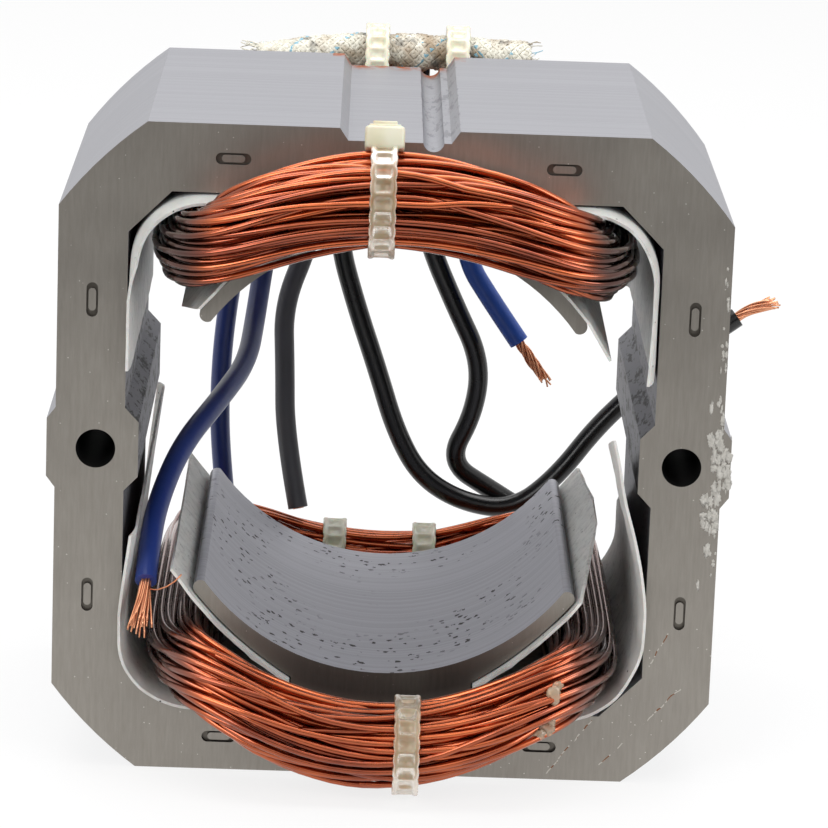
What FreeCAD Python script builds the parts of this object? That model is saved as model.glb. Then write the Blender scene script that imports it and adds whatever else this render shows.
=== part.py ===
"""Wound stator of a two-pole universal motor, millimetres.

X is to the right, Y runs back along the rotor bore, Z is up. The origin is on
the bore axis at the stack's front face, midway between the two through bolts.
"""
import FreeCAD, Part
import math
import os

Vector = FreeCAD.Vector

# --- lamination stack ---
STACK_WIDTH = 84.0            # across flats, both ways
STACK_DEPTH = 54.0            # 108 laminations of 0.5
CORNER_CUT = 7.1              # the corners are turned off this far in from the square's
YOKE_THICKNESS = 8.7
WINDOW_CHAMFER = 5.3
SLOT_DEPTH = 4.9              # from the bore's circle out to the yoke and the legs

EAR_STAND_OUT = 1.1           # bolt ears on the two sides
EAR_TOP_HALF = 3.75
EAR_ROOT_HALF = 5.2
BOSS_STAND_IN = 1.75          # bolt bosses inside the window
BOSS_TOP_HALF = 3.55
BOSS_ROOT_HALF = 5.4
BOLT_HOLE_DIAMETER = 5.0
BOLT_INSET = 5.08             # from the flats on the two sides

NOTCH_MOUTH_HALF = 7.45       # key notch in the middle of the top and bottom flats
NOTCH_FLOOR_HALF = 6.4
NOTCH_DEPTH = 1.55
GROOVE_WIDTH = 2.65           # round groove in the notch floor
GROOVE_DEPTH = 1.1
GROOVE_OFFSET = 4.2

# --- pole shoes ---
NECK_HALF = 11.5
NECK_FILLET = 1.0
POLE_HOLE_DIAMETER = 3.8
POLE_HOLE_INSET = 7.9         # from the top and bottom flats
TIP_ANGLE = 36.6              # degrees from the X axis to the tip's bore corner
TIP_BACK_ANGLE = 37.5
SHOE_MID_ANGLE = 52.5
SHOE_TIP_THICKNESS = 1.85
SHOE_MID_THICKNESS = 2.0
SHOE_NECK_THICKNESS = 3.1
TIP_ROUND = 0.8

# --- interlocks pressed into the laminations ---
LOCK_LENGTH = 4.4
LOCK_WIDTH = 1.45
LOCK_DEPTH = 0.6
LOCK_TAB_LENGTH = 2.9
LOCK_TAB_WIDTH = 0.95
LOCK_TAB_RISE = 0.45
LOCK_YOKE_ACROSS = 20.5       # from the middle, on the top and bottom yokes
LOCK_LEG_UP = 19.2            # from the middle, on the two legs

# --- slot liners ---
LINER_THICKNESS = 0.35
LINER_CLEARANCE = 0.2
LINER_BOSS_CLEARANCE = 0.3
LINER_OVERHANG = 1.5          # past each face of the stack
LINER_NECK_RADIUS = 1.3
KNIFE_PAST = 1.0              # cutting shapes run this far past what they cut

# --- coils ---
COIL_SHOE_GAP = 1.05          # from the bundle to the liner on the pole shoe
COIL_CORNER_GAP = 1.3         # and to the one in the slot's corner
COIL_LEG_GAP = 2.4            # and to the one on the leg
COIL_ANGLE = 46.1             # degrees from the X axis to the bundle's middle
COIL_TILT = 45.0              # how far the bundle's long side leans down in the slot
SHOULDER_TILT = 75.0          # and where the end turn starts across the pole
COIL_PIVOT_GAP = 0.8          # from the bundle to the upright line it turns out about
COIL_RIDGES = 20
COIL_RIDGE_HEIGHT = 0.32
TURN_STEPS = 4                # sections round each corner of a coil
ACROSS_STEPS = 6              # and across each end turn
# each end turn: how far out its middle stands, how far that is above the bundle in the
# slot, how it curves away as height lost over the square of the distance, and its half sizes
END_TURNS = {
    "upper_front": {"out": 7.2, "rise": 7.9, "arch": 0.0113, "halves": (6.4, 4.7)},
    "upper_rear": {"out": 7.2, "rise": 5.4, "arch": 0.0117, "halves": (6.2, 4.7)},
    "lower_front": {"out": 9.0, "rise": 8.8, "arch": 0.0165, "halves": (5.5, 4.9)},
    "lower_rear": {"out": 7.2, "rise": 6.5, "arch": 0.0115, "halves": (5.5, 4.8)},
}

# --- cable ties ---
TIE_WIDTH = 3.3
TIE_THICKNESS = 0.9
TIE_CLEARANCE = 0.3
TIE_RIB_PITCH = 2.2
TIE_RIB_GAP = 0.45
TIE_RIB_DEPTH = 0.25
TIE_HEAD = (4.9, 4.5, 2.9)    # across the strap, along it, and thick
TIE_HEAD_CHAMFER = 0.4
TIE_TAIL = 0.8                # the strap's cut end stands this far out of the head
TIE_TAIL_WIDTH = 3.0
# each tie: its end turn, place across, and where its head sits round the loop, in
# degrees from straight back
TIES = {
    "tie_upper_front": {"turn": "upper_front", "x": -1.9, "head": 75.0},
    "tie_lower_front": {"turn": "lower_front", "x": 3.4, "head": -15.0},
    "tie_upper_rear_left": {"turn": "upper_rear", "x": -3.0, "head": 20.0},
    "tie_upper_rear_right": {"turn": "upper_rear", "x": 8.0, "head": 20.0},
    "tie_lower_rear_left": {"turn": "lower_rear", "x": -6.7, "head": -20.0},
    "tie_lower_rear_right": {"turn": "lower_rear", "x": 5.9, "head": -20.0},
}

# --- sleeving and leads ---
SLEEVE_DIAMETER = 5.2
SLEEVE_WALL = 0.5
SLEEVE_GAP = 0.6              # over the upper rear end turn, in the middle
SLEEVE_TIE_SLACK = 1.1        # the ties round the sleeving stand this much further off
SLEEVE_LEFT = -19.5
SLEEVE_RIGHT = 18.2
SLEEVE_LEFT_DROP = 1.6        # how far the two ends hang below the middle
SLEEVE_RIGHT_DROP = 0.6
LEAD_DIAMETER = 2.8
STRANDS_DIAMETER = 1.6
# routes of the leads, from under the sleeving to the cut end
LEADS = {
    "lead_blue_front": [
        (-13.8, 64.9, 38.2), (-13.6, 68.6, 31.5), (-15.2, 68.9, 22.0), (-17.6, 64.6, 12.2),
        (-18.6, 56.0, 4.4), (-19.3, 45.5, 0.6), (-22.4, 34.0, -1.6), (-27.0, 22.5, -5.2),
        (-29.5, 11.5, -10.0), (-30.1, 3.8, -13.8), (-30.2, -0.6, -17.0)],
    "lead_blue_rear": [
        (-17.4, 64.9, 37.5), (-18.2, 68.7, 30.5), (-19.8, 69.3, 20.5), (-21.8, 69.3, 10.5),
        (-23.2, 69.0, 0.5), (-23.4, 68.6, -9.0), (-21.6, 68.6, -18.0), (-18.6, 69.2, -26.5)],
    "lead_grey_rear": [
        (-10.4, 64.9, 38.6), (-9.7, 70.4, 31.6), (-10.0, 70.6, 22.0), (-11.6, 69.0, 12.4),
        (-15.0, 67.8, 3.6), (-14.5, 66.6, -5.2), (-14.2, 64.6, -14.4), (-12.0, 61.2, -24.2)],
    "lead_black_right": [
        (-7.4, 64.9, 38.9), (-7.2, 68.6, 32.0), (-7.4, 69.2, 22.6), (-7.6, 69.2, 13.0),
        (-4.8, 69.2, 3.6), (-1.5, 69.2, -5.6), (1.4, 69.3, -14.6), (5.1, 69.4, -21.2),
        (11.2, 69.5, -24.9), (18.6, 69.7, -25.9), (24.6, 70.0, -21.0), (30.6, 70.4, -12.6),
        (38.0, 70.9, -5.6), (44.0, 71.4, -0.9), (49.4, 72.0, 3.0)],
    "lead_black_rear": [
        (3.0, 64.9, 39.0), (2.9, 68.6, 32.2), (2.8, 69.4, 23.0), (5.0, 69.6, 13.2),
        (9.0, 70.0, 4.2), (13.2, 70.5, -4.2), (12.6, 71.0, -12.0), (9.0, 71.6, -19.6),
        (15.8, 72.6, -24.0), (22.8, 73.2, -28.4)],
    "lead_blue_short": [
        (12.1, 64.9, 38.2), (12.0, 68.6, 31.4), (9.8, 69.0, 22.0), (10.2, 68.6, 11.2),
        (14.4, 67.9, 4.9), (18.4, 67.3, -0.6)],
}
# bare copper beyond the cut insulation: straight on from the lead, then bent to its tip
STRANDS_STRAIGHT = 3.0
STRANDS = {
    "strands_blue_front": {"lead": "lead_blue_front", "tip": (-31.0, -4.6, -22.4)},
    "strands_black_right": {"lead": "lead_black_right", "tip": (55.4, 72.3, 5.5)},
    "strands_blue_short": {"lead": "lead_blue_short", "tip": (23.0, 66.7, -6.8)},
}

# --- worked out from the above ---
HALF = STACK_WIDTH / 2
WINDOW = HALF - YOKE_THICKNESS
BORE_RADIUS = WINDOW - SLOT_DEPTH
LOCK_MIDDLE = HALF - YOKE_THICKNESS / 2
LINED = LINER_CLEARANCE + LINER_THICKNESS

SLOT_FLOOR = BORE_RADIUS + SHOE_MID_THICKNESS + LINED
SLOT_CORNER = (2 * WINDOW - WINDOW_CHAMFER) / math.sqrt(2) - LINED
COIL_THIN_HALF = (SLOT_CORNER - SLOT_FLOOR - COIL_CORNER_GAP - COIL_SHOE_GAP) / 2
COIL_REACH = SLOT_FLOOR + COIL_SHOE_GAP + COIL_THIN_HALF
COIL_SLOT_ACROSS = COIL_REACH * math.cos(math.radians(COIL_ANGLE))
COIL_SLOT_UP = COIL_REACH * math.sin(math.radians(COIL_ANGLE))
COIL_HALF_WIDTH = WINDOW - LINED - COIL_LEG_GAP - COIL_SLOT_ACROSS
COIL_LONG_HALF = math.sqrt(2 * COIL_HALF_WIDTH ** 2 - COIL_THIN_HALF ** 2)
COIL_PIVOT = COIL_SLOT_ACROSS - COIL_HALF_WIDTH - COIL_PIVOT_GAP

# each liner: its side, up or down, flap length, flap turn in degrees, corner radius, and
# the corners along the leg as (inset from it, height, radius)
LINERS = {
    "liner_upper_left": {
        "side": -1, "up": 1, "flap": 4.4, "turn": 0.0, "corner": 9.1,
        "leg": [(LINER_CLEARANCE, 10.5, 0)]},
    "liner_upper_right": {
        "side": 1, "up": 1, "flap": 5.6, "turn": 6.0, "corner": 9.1,
        "leg": [(LINER_CLEARANCE, 11.0, 0)]},
    "liner_lower_left": {
        "side": -1, "up": -1, "flap": 4.4, "turn": 0.0, "corner": 9.1,
        "leg": [(LINER_CLEARANCE, WINDOW - 12.3, 9.0),
                (BOSS_STAND_IN + LINER_BOSS_CLEARANCE, BOSS_ROOT_HALF - 0.4, 9.0),
                (BOSS_STAND_IN + LINER_BOSS_CLEARANCE, 0.5, 0)]},
    "liner_lower_right": {
        "side": 1, "up": -1, "flap": 6.0, "turn": 0.0, "corner": 10.5,
        "leg": [(LINER_CLEARANCE + 0.35, WINDOW - 17.3, 30.0), (5.5, -3.6, 0)]},
}
# corners cut or torn off: across from and to, then the outline as (y, height). A flap's is
# measured from the back of the shoe's tip, a leg's from the leg's side and the liner's end
FRONT = -LINER_OVERHANG - KNIFE_PAST
REAR = STACK_DEPTH + LINER_OVERHANG + KNIFE_PAST
FLAP_CUTS = {
    "liner_upper_left": [(-2.0, 5.5, [(FRONT, 0.4), (20, -4.4), (FRONT, -4.4)])],
    "liner_lower_right": [
        (-2.0, 5.0, [(FRONT, -0.6), (26, -5.2), (FRONT, -5.2)]),
        (-2.0, 5.0, [(26, -5.2), (REAR, -3.0), (REAR, -5.2)])],
}
LEG_CUTS = {
    "liner_lower_right": [
        (-4.2, 1.0, [(FRONT, -0.4), (REAR, 24.4), (REAR, -2.4), (FRONT, -2.4)]),
        (-7.2, -3.6, [(FRONT, -0.4), (36, 15.7), (REAR, 15.7), (REAR, -2.4), (FRONT, -2.4)])],
}

def polygon_face(points):
    """Face in the XZ plane from (x, z) corners."""
    corners = [Vector(x, 0, z) for x, z in points]
    return Part.Face(Part.makePolygon(corners + corners[:1]))


def disc(x, z, radius):
    circle = Part.makeCircle(radius, Vector(x, 0, z), Vector(0, 1, 0))
    return Part.Face(Part.Wire(circle))


def polar(radius, degrees):
    angle = math.radians(degrees)
    return (radius * math.cos(angle), radius * math.sin(angle))


def fillet_route(points, radii):
    """Straight runs joined by tangent arcs. radii holds one radius per inner point."""
    edges = []
    start = points[0]
    for before, corner, after, radius in zip(points, points[1:], points[2:], radii):
        into = (corner - before).normalize()
        out = (after - corner).normalize()
        turn = into.getAngle(out)
        if radius <= 0 or turn < 1e-6:
            edges.append(Part.LineSegment(start, corner).toShape())
            start = corner
            continue
        setback = radius * math.tan(turn / 2)
        first = corner - into * setback
        last = corner + out * setback
        inward = (out - into).normalize()
        middle = corner + inward * (radius / math.cos(turn / 2) - radius)
        if (first - start).Length > 1e-6:
            edges.append(Part.LineSegment(start, first).toShape())
        edges.append(Part.Arc(first, middle, last).toShape())
        start = last
    edges.append(Part.LineSegment(start, points[-1]).toShape())
    return edges


# ---------------------------------------------------------------- lamination stack

def shoe_back(clearance=0.0):
    """Tip, middle and neck points of the shoe's back, as (x, z)."""
    tip = polar(BORE_RADIUS + SHOE_TIP_THICKNESS + clearance, TIP_BACK_ANGLE)
    middle = polar(BORE_RADIUS + SHOE_MID_THICKNESS + clearance, SHOE_MID_ANGLE)
    neck_radius = BORE_RADIUS + SHOE_NECK_THICKNESS + clearance
    neck_x = NECK_HALF + clearance
    neck = (neck_x, math.sqrt(neck_radius ** 2 - neck_x ** 2))
    return tip, middle, neck


def pole_face():
    """The upper pole: neck and shoe."""
    tip, middle, neck = shoe_back()
    inner = polar(BORE_RADIUS, TIP_ANGLE)
    thick = Vector(tip[0] - inner[0], 0, tip[1] - inner[1])
    along = Vector(thick.z, 0, -thick.x).normalize()
    nose = Vector((tip[0] + inner[0]) / 2, 0, (tip[1] + inner[1]) / 2) + along * TIP_ROUND
    root = WINDOW + KNIFE_PAST

    def at(point, side):
        return Vector(side * point[0], 0, point[1])

    edges = [Part.Arc(at(inner, 1), Vector(0, 0, BORE_RADIUS), at(inner, -1)).toShape()]
    for side in (1, -1):
        side_nose = Vector(side * nose.x, 0, nose.z)
        edges.append(Part.Arc(at(inner, side), side_nose, at(tip, side)).toShape())
        edges.append(Part.Arc(at(tip, side), at(middle, side), at(neck, side)).toShape())
        edges.append(Part.LineSegment(at(neck, side), at((NECK_HALF, root), side)).toShape())
    edges.append(Part.LineSegment(at((NECK_HALF, root), 1), at((NECK_HALF, root), -1)).toShape())
    return Part.Face(Part.Wire(Part.__sortEdges__(edges)))


def lamination_outline():
    """Outside of one lamination: flats, turned corners, bolt ears and key notches."""
    square = polygon_face([(-HALF, -HALF), (HALF, -HALF), (HALF, HALF), (-HALF, HALF)])
    outline = square.common(disc(0, 0, HALF * math.sqrt(2) - CORNER_CUT))
    for side in (1, -1):
        top = side * (HALF + EAR_STAND_OUT)
        root = side * HALF
        base = side * (HALF - KNIFE_PAST)
        ear = [(base, -EAR_ROOT_HALF), (root, -EAR_ROOT_HALF), (top, -EAR_TOP_HALF),
               (top, EAR_TOP_HALF), (root, EAR_ROOT_HALF), (base, EAR_ROOT_HALF)]
        outline = outline.fuse(polygon_face(ear))
        floor = side * (HALF - NOTCH_DEPTH)
        mouth = side * HALF
        past = side * (HALF + KNIFE_PAST)
        notch = [(-NOTCH_MOUTH_HALF, past), (-NOTCH_MOUTH_HALF, mouth), (-NOTCH_FLOOR_HALF, floor),
                 (NOTCH_FLOOR_HALF, floor), (NOTCH_MOUTH_HALF, mouth), (NOTCH_MOUTH_HALF, past)]
        outline = outline.cut(polygon_face(notch))
        half = GROOVE_WIDTH / 2
        middle = side * GROOVE_OFFSET
        low = side * (HALF - NOTCH_DEPTH - GROOVE_DEPTH + half)
        box = [(middle - half, low), (middle + half, low), (middle + half, past), (middle - half, past)]
        outline = outline.cut(polygon_face(box)).cut(disc(middle, low, half))
    return outline


def window_face():
    """The opening round the rotor and the four slots."""
    w = WINDOW
    c = WINDOW - WINDOW_CHAMFER
    window = polygon_face([(c, w), (w, c), (w, -c), (c, -w), (-c, -w), (-w, -c), (-w, c), (-c, w)])
    for side in (1, -1):
        top = side * (w - BOSS_STAND_IN)
        root = side * w
        base = side * (w + KNIFE_PAST)
        boss = [(base, -BOSS_ROOT_HALF), (root, -BOSS_ROOT_HALF), (top, -BOSS_TOP_HALF),
                (top, BOSS_TOP_HALF), (root, BOSS_ROOT_HALF), (base, BOSS_ROOT_HALF)]
        window = window.cut(polygon_face(boss))
    pole = pole_face()
    window = window.cut(pole)
    return window.cut(pole.mirror(Vector(0, 0, 0), Vector(0, 0, 1)))


def stadium(x, z, length, width, upright):
    """Round-ended slot outline centred on (x, z)."""
    reach = (length - width) / 2
    shift = (0, reach) if upright else (reach, 0)
    half = (width / 2, reach) if upright else (reach, width / 2)
    bar = polygon_face([(x - half[0], z - half[1]), (x + half[0], z - half[1]),
                        (x + half[0], z + half[1]), (x - half[0], z + half[1])])
    for end in (1, -1):
        bar = bar.fuse(disc(x + end * shift[0], z + end * shift[1], width / 2))
    return bar.removeSplitter()


def make_lamination_stack():
    sheet = lamination_outline().cut(window_face())
    for side in (1, -1):
        sheet = sheet.cut(disc(side * (HALF - BOLT_INSET), 0, BOLT_HOLE_DIAMETER / 2))
        sheet = sheet.cut(disc(0, side * (HALF - POLE_HOLE_INSET), POLE_HOLE_DIAMETER / 2))
    sheet = sheet.removeSplitter()
    stack = sheet.extrude(Vector(0, STACK_DEPTH, 0))

    quarters = [(x, z) for x in (1, -1) for z in (1, -1)]
    places = [(x * LOCK_YOKE_ACROSS, z * LOCK_MIDDLE, False) for x, z in quarters]
    places += [(x * LOCK_MIDDLE, z * LOCK_LEG_UP, True) for x, z in quarters]
    for x, z, upright in places:
        hollow = stadium(x, z, LOCK_LENGTH, LOCK_WIDTH, upright)
        tab = stadium(x, z, LOCK_TAB_LENGTH, LOCK_TAB_WIDTH, upright)
        pocket = hollow.extrude(Vector(0, LOCK_DEPTH, 0))
        island = tab.extrude(Vector(0, LOCK_TAB_RISE, 0))
        island.translate(Vector(0, LOCK_DEPTH - LOCK_TAB_RISE, 0))
        stack = stack.cut(pocket.cut(island))
        raised = tab.extrude(Vector(0, LOCK_TAB_RISE, 0))
        raised.translate(Vector(0, STACK_DEPTH, 0))
        stack = stack.fuse(raised)
    return stack.removeSplitter()


# ---------------------------------------------------------------- slot liners

def liner_route(size):
    """Steel side of a liner in the upper right slot, from its flap to its free end."""
    tip, middle, neck = shoe_back(LINER_CLEARANCE)
    tangent = math.radians(TIP_BACK_ANGLE - 90 - size["turn"])
    flap = Vector(tip[0] + size["flap"] * math.cos(tangent), 0,
                  tip[1] + size["flap"] * math.sin(tangent))
    tip_point = Vector(tip[0], 0, tip[1])
    neck_point = Vector(neck[0], 0, neck[1])
    edges = [Part.LineSegment(flap, tip_point).toShape()]
    edges.append(Part.Arc(tip_point, Vector(middle[0], 0, middle[1]), neck_point).toShape())
    ceiling = WINDOW - LINER_CLEARANCE
    corner = Vector(WINDOW - size["leg"][0][0], 0, ceiling)
    points = [neck_point, Vector(NECK_HALF + LINER_CLEARANCE, 0, ceiling), corner]
    radii = [LINER_NECK_RADIUS, size["corner"]]
    for inset, height, radius in size["leg"]:
        points.append(Vector(WINDOW - inset, 0, height))
        radii.append(radius)
    return edges + fillet_route(points, radii[:len(points) - 2])


def make_liner(name):
    """Folded sheet made for the upper right slot, trimmed, then mirrored to its own."""
    size = LINERS[name]
    strip = Part.Wire(liner_route(size)).makeOffset2D(-LINER_THICKNESS, 0, True, True)
    sheet = strip.extrude(Vector(0, STACK_DEPTH + 2 * LINER_OVERHANG, 0))
    sheet.translate(Vector(0, -LINER_OVERHANG, 0))
    tip_across, tip_up = shoe_back(LINER_CLEARANCE)[0]
    cuts = [(tip_across, tip_up, cut) for cut in FLAP_CUTS.get(name, [])]
    cuts += [(WINDOW, size["leg"][-1][1], cut) for cut in LEG_CUTS.get(name, [])]
    for across, up, (low, high, outline) in cuts:
        corners = [Vector(across + low, y, up + height) for y, height in outline]
        knife = Part.Face(Part.makePolygon(corners + corners[:1])).extrude(Vector(high - low, 0, 0))
        sheet = sheet.cut(knife)
    if size["side"] < 0:
        sheet = sheet.mirror(Vector(0, 0, 0), Vector(1, 0, 0))
    if size["up"] < 0:
        sheet = sheet.mirror(Vector(0, 0, 0), Vector(0, 0, 1))
    return sheet


# ---------------------------------------------------------------- coils

def ridged_oval(centre, halves, tilt, place):
    """Closed wire of arcs, one ridge each, round an oval.

    centre is (out, height), tilt turns the oval's long axis down from level, and
    place turns (out, height) into a point in space.
    """
    cos_tilt = math.cos(math.radians(tilt))
    sin_tilt = math.sin(math.radians(tilt))

    def at(angle, sunk):
        along = (halves[0] - sunk) * math.cos(angle)
        across = (halves[1] - sunk) * math.sin(angle)
        out = centre[0] + along * cos_tilt + across * sin_tilt
        height = centre[1] - along * sin_tilt + across * cos_tilt
        return place(out, height)

    step = 2 * math.pi / COIL_RIDGES
    edges = []
    for ridge in range(COIL_RIDGES):
        start = at(ridge * step, COIL_RIDGE_HEIGHT)
        crest = at((ridge + 0.5) * step, 0)
        end = at((ridge + 1) * step, COIL_RIDGE_HEIGHT)
        edges.append(Part.Arc(start, crest, end).toShape())
    return Part.Wire(edges)


def end_turn_height(size, x):
    return COIL_SLOT_UP + size["rise"] - size["arch"] * x * x


def end_turn_sections(size, face_y, outward, up):
    """Sections from the right slot, across in front of the pole, to the left slot."""
    slot_out = COIL_SLOT_ACROSS - COIL_PIVOT
    slot_halves = (COIL_LONG_HALF, COIL_THIN_HALF)
    shoulder = end_turn_height(size, COIL_PIVOT)
    climb = 2 * size["arch"] * COIL_PIVOT * size["out"] * math.pi / 2

    def fan(side, angle):
        """Section turned out of the slot by an angle, a right angle at the shoulder.

        The bundle leaves the slot level and meets the end turn at its slope.
        """
        share = math.sin(angle) ** 2
        turned = angle / (math.pi / 2)
        risen = turned ** 2 * (3 - 2 * turned)
        out = slot_out + (size["out"] - slot_out) * share
        height = (COIL_SLOT_UP + (shoulder - COIL_SLOT_UP) * risen
                  - climb * turned ** 2 * (1 - turned))
        halves = [a + (b - a) * share for a, b in zip(slot_halves, size["halves"])]
        tilt = COIL_TILT + (SHOULDER_TILT - COIL_TILT) * share

        def place(r, z):
            return Vector(side * (COIL_PIVOT + r * math.cos(angle)),
                          face_y + outward * r * math.sin(angle), up * z)
        return ridged_oval((out, height), halves, tilt, place)

    def across(x):
        """Section in front of the pole, upright in the middle."""
        tilt = 90 - (90 - SHOULDER_TILT) * (x / COIL_PIVOT) ** 2

        def place(r, z):
            return Vector(x, face_y + outward * r, up * z)
        return ridged_oval((size["out"], end_turn_height(size, x)), size["halves"], tilt, place)

    angles = [math.pi / 2 * step / TURN_STEPS for step in range(TURN_STEPS)]
    places = [COIL_PIVOT * (1 - 2 * step / ACROSS_STEPS) for step in range(ACROSS_STEPS + 1)]
    return ([fan(1, angle) for angle in angles] + [across(x) for x in places]
            + [fan(-1, angle) for angle in reversed(angles)])


def make_coil(name, up):
    """One closed ring: two end turns and the two straight sides in the slots."""
    faces = []
    for end, face_y, outward in (("front", 0.0, -1), ("rear", STACK_DEPTH, 1)):
        wires = end_turn_sections(END_TURNS[name + "_" + end], face_y, outward, up)
        faces += Part.makeLoft(wires, False, False).Faces
        if end == "front":
            for slot_wire in (wires[0], wires[-1]):
                faces += slot_wire.extrude(Vector(0, STACK_DEPTH, 0)).Faces
    shell = Part.makeShell(faces)
    shell.sewShape()
    solid = Part.makeSolid(shell)
    if solid.Volume < 0:
        solid.reverse()
    return solid


# ---------------------------------------------------------------- cable ties

def sleeve_height():
    """Height of the sleeving's axis in the middle."""
    size = END_TURNS["upper_rear"]
    return end_turn_height(size, 0) + size["halves"][0] + SLEEVE_GAP + SLEEVE_DIAMETER / 2


def tie_oval(name):
    """Centre (y, z) and half sizes (y, z) of what a tie is pulled round."""
    tie = TIES[name]
    size = END_TURNS[tie["turn"]]
    up = 1 if tie["turn"].startswith("upper") else -1
    rear = tie["turn"].endswith("rear")
    y = STACK_DEPTH + size["out"] if rear else -size["out"]
    heights = [end_turn_height(size, tie["x"] + edge * TIE_WIDTH / 2) for edge in (-1, 1)]
    low = min(heights) - size["halves"][0]
    high = max(heights) + size["halves"][0]
    half_y = size["halves"][1] + TIE_CLEARANCE
    if tie["turn"] == "upper_rear":
        high = sleeve_height() + SLEEVE_DIAMETER / 2
        half_y += SLEEVE_TIE_SLACK
    half_z = (high - low) / 2 + TIE_CLEARANCE
    return y, up * (high + low) / 2, half_y, half_z


def oval_bar(x, width, y, z, half_y, half_z):
    """Bar along X with an oval section, taller than it is deep."""
    left = x - width / 2
    centre = Vector(left, y, z)
    ellipse = Part.Ellipse(Vector(left, y, z + half_z), Vector(left, y + half_y, z), centre)
    return Part.Face(Part.Wire(ellipse.toShape())).extrude(Vector(width, 0, 0))


def make_tie(name):
    """Ribbed strap closed round an end turn, with its head and cut tail."""
    tie = TIES[name]
    y, z, half_y, half_z = tie_oval(name)
    strap = oval_bar(tie["x"], TIE_WIDTH, y, z, half_y + TIE_THICKNESS, half_z + TIE_THICKNESS)
    hole = oval_bar(tie["x"], TIE_HEAD[0] * 2, y, z, half_y, half_z)

    def on_strap(angle):
        """Point on the strap's outside and the way out from it, at an oval angle."""
        point = Vector(tie["x"], y + (half_y + TIE_THICKNESS) * math.cos(angle),
                       z + (half_z + TIE_THICKNESS) * math.sin(angle))
        out = Vector(0, math.cos(angle) / (half_y + TIE_THICKNESS),
                     math.sin(angle) / (half_z + TIE_THICKNESS)).normalize()
        return point, out

    def block(point, out, width, along, low, high):
        """Box on the strap, from low to high along out."""
        box = Part.makeBox(width, along, high - low, Vector(-width / 2, -along / 2, low))
        side = Vector(1, 0, 0)
        run = out.cross(side)
        turn = FreeCAD.Matrix(side.x, run.x, out.x, point.x, side.y, run.y, out.y, point.y,
                              side.z, run.z, out.z, point.z, 0, 0, 0, 1)
        return box.transformGeometry(turn)

    head_angle = math.radians(tie["head"])
    girth = math.pi * (half_y + half_z + 2 * TIE_THICKNESS)
    ribs = int(girth / TIE_RIB_PITCH)
    for rib in range(1, ribs):
        angle = head_angle + 2 * math.pi * rib / ribs
        point, out = on_strap(angle)
        rib_gap = block(point, out, TIE_WIDTH * 2, TIE_RIB_GAP, -TIE_RIB_DEPTH, TIE_THICKNESS)
        strap = strap.cut(rib_gap)
    point, out = on_strap(head_angle)
    width, along, thick = TIE_HEAD
    top = thick - TIE_THICKNESS
    head = block(point, out, width, along, -TIE_THICKNESS - TIE_HEAD_CHAMFER, top)
    head = head.makeChamfer(TIE_HEAD_CHAMFER, head.Edges)
    tail = block(point, out, TIE_TAIL_WIDTH, TIE_THICKNESS, 0, top + TIE_TAIL)
    return strap.fuse(head).fuse(tail).cut(hole).removeSplitter()


# ---------------------------------------------------------------- sleeving and leads

def swept(edges, diameter):
    """Round bar along tangent edges."""
    path = Part.Wire(edges)
    start = edges[0].valueAt(edges[0].FirstParameter)
    heading = edges[0].tangentAt(edges[0].FirstParameter)
    profile = Part.Wire(Part.makeCircle(diameter / 2, start, heading))
    return path.makePipeShell([profile], True, False)


def make_sleeve():
    """Open-ended tube lying over the upper rear end turn."""
    y = STACK_DEPTH + END_TURNS["upper_rear"]["out"]
    top = sleeve_height()
    arc = Part.Arc(Vector(SLEEVE_LEFT, y, top - SLEEVE_LEFT_DROP), Vector(0, y, top),
                   Vector(SLEEVE_RIGHT, y, top - SLEEVE_RIGHT_DROP)).toShape()
    return swept([arc], SLEEVE_DIAMETER).cut(swept([arc], SLEEVE_DIAMETER - 2 * SLEEVE_WALL))


def route_edges(name, points):
    """A lead's tube path. Each arc is as large as its two runs allow."""
    route = [Vector(*point) for point in points]
    radii = []
    for before, corner, after in zip(route, route[1:], route[2:]):
        turn = (corner - before).getAngle(after - corner)
        shorter = min((corner - before).Length, (after - corner).Length)
        radii.append(0.45 * shorter / math.tan(turn / 2))
    runs = [(b - a).Length for a, b in zip(route, route[1:])]
    print(name, "runs", [round(run, 1) for run in runs], "radii", [round(r, 1) for r in radii])
    return fillet_route(route, radii)


def make_lead(name, points, diameter):
    edges = route_edges(name, points)
    bar = swept(edges, diameter)
    length = sum(edge.Length for edge in edges)
    share = bar.Volume / (math.pi * diameter ** 2 / 4 * length)
    print(name, "length", round(length, 1), "volume over section times length", round(share, 4))
    return bar


def build():
    parts = {"lamination_stack": make_lamination_stack()}
    for name in LINERS:
        parts[name] = make_liner(name)
    parts["coil_upper"] = make_coil("upper", 1)
    parts["coil_lower"] = make_coil("lower", -1)
    for name in TIES:
        parts[name] = make_tie(name)
    parts["sleeve_rear"] = make_sleeve()
    for name, points in LEADS.items():
        parts[name] = make_lead(name, points, LEAD_DIAMETER)
    for name, strands in STRANDS.items():
        before, end = [Vector(*point) for point in LEADS[strands["lead"]][-2:]]
        bend = end + (end - before).normalize() * STRANDS_STRAIGHT
        parts[name] = make_lead(name, [end, bend, Vector(*strands["tip"])], STRANDS_DIAMETER)
    return parts


def main():
    os.makedirs("parts", exist_ok=True)
    for name, shape in build().items():
        box = shape.BoundBox
        print(name, "valid", shape.isValid(), "solids", len(shape.Solids), "volume", round(shape.Volume, 1),
              "x %.1f %.1f y %.1f %.1f z %.1f %.1f" % (box.XMin, box.XMax, box.YMin, box.YMax,
                                                     box.ZMin, box.ZMax))
        shape.exportStep("parts/" + name + ".step")


main()
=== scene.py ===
# Wound stator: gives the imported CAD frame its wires, liners, ties, braid, leads and finishes.
import functools
import math
import random

import bmesh
import bpy
import numpy as np
from mathutils import Matrix, Vector, noise
from mathutils.bvhtree import BVHTree


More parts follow.
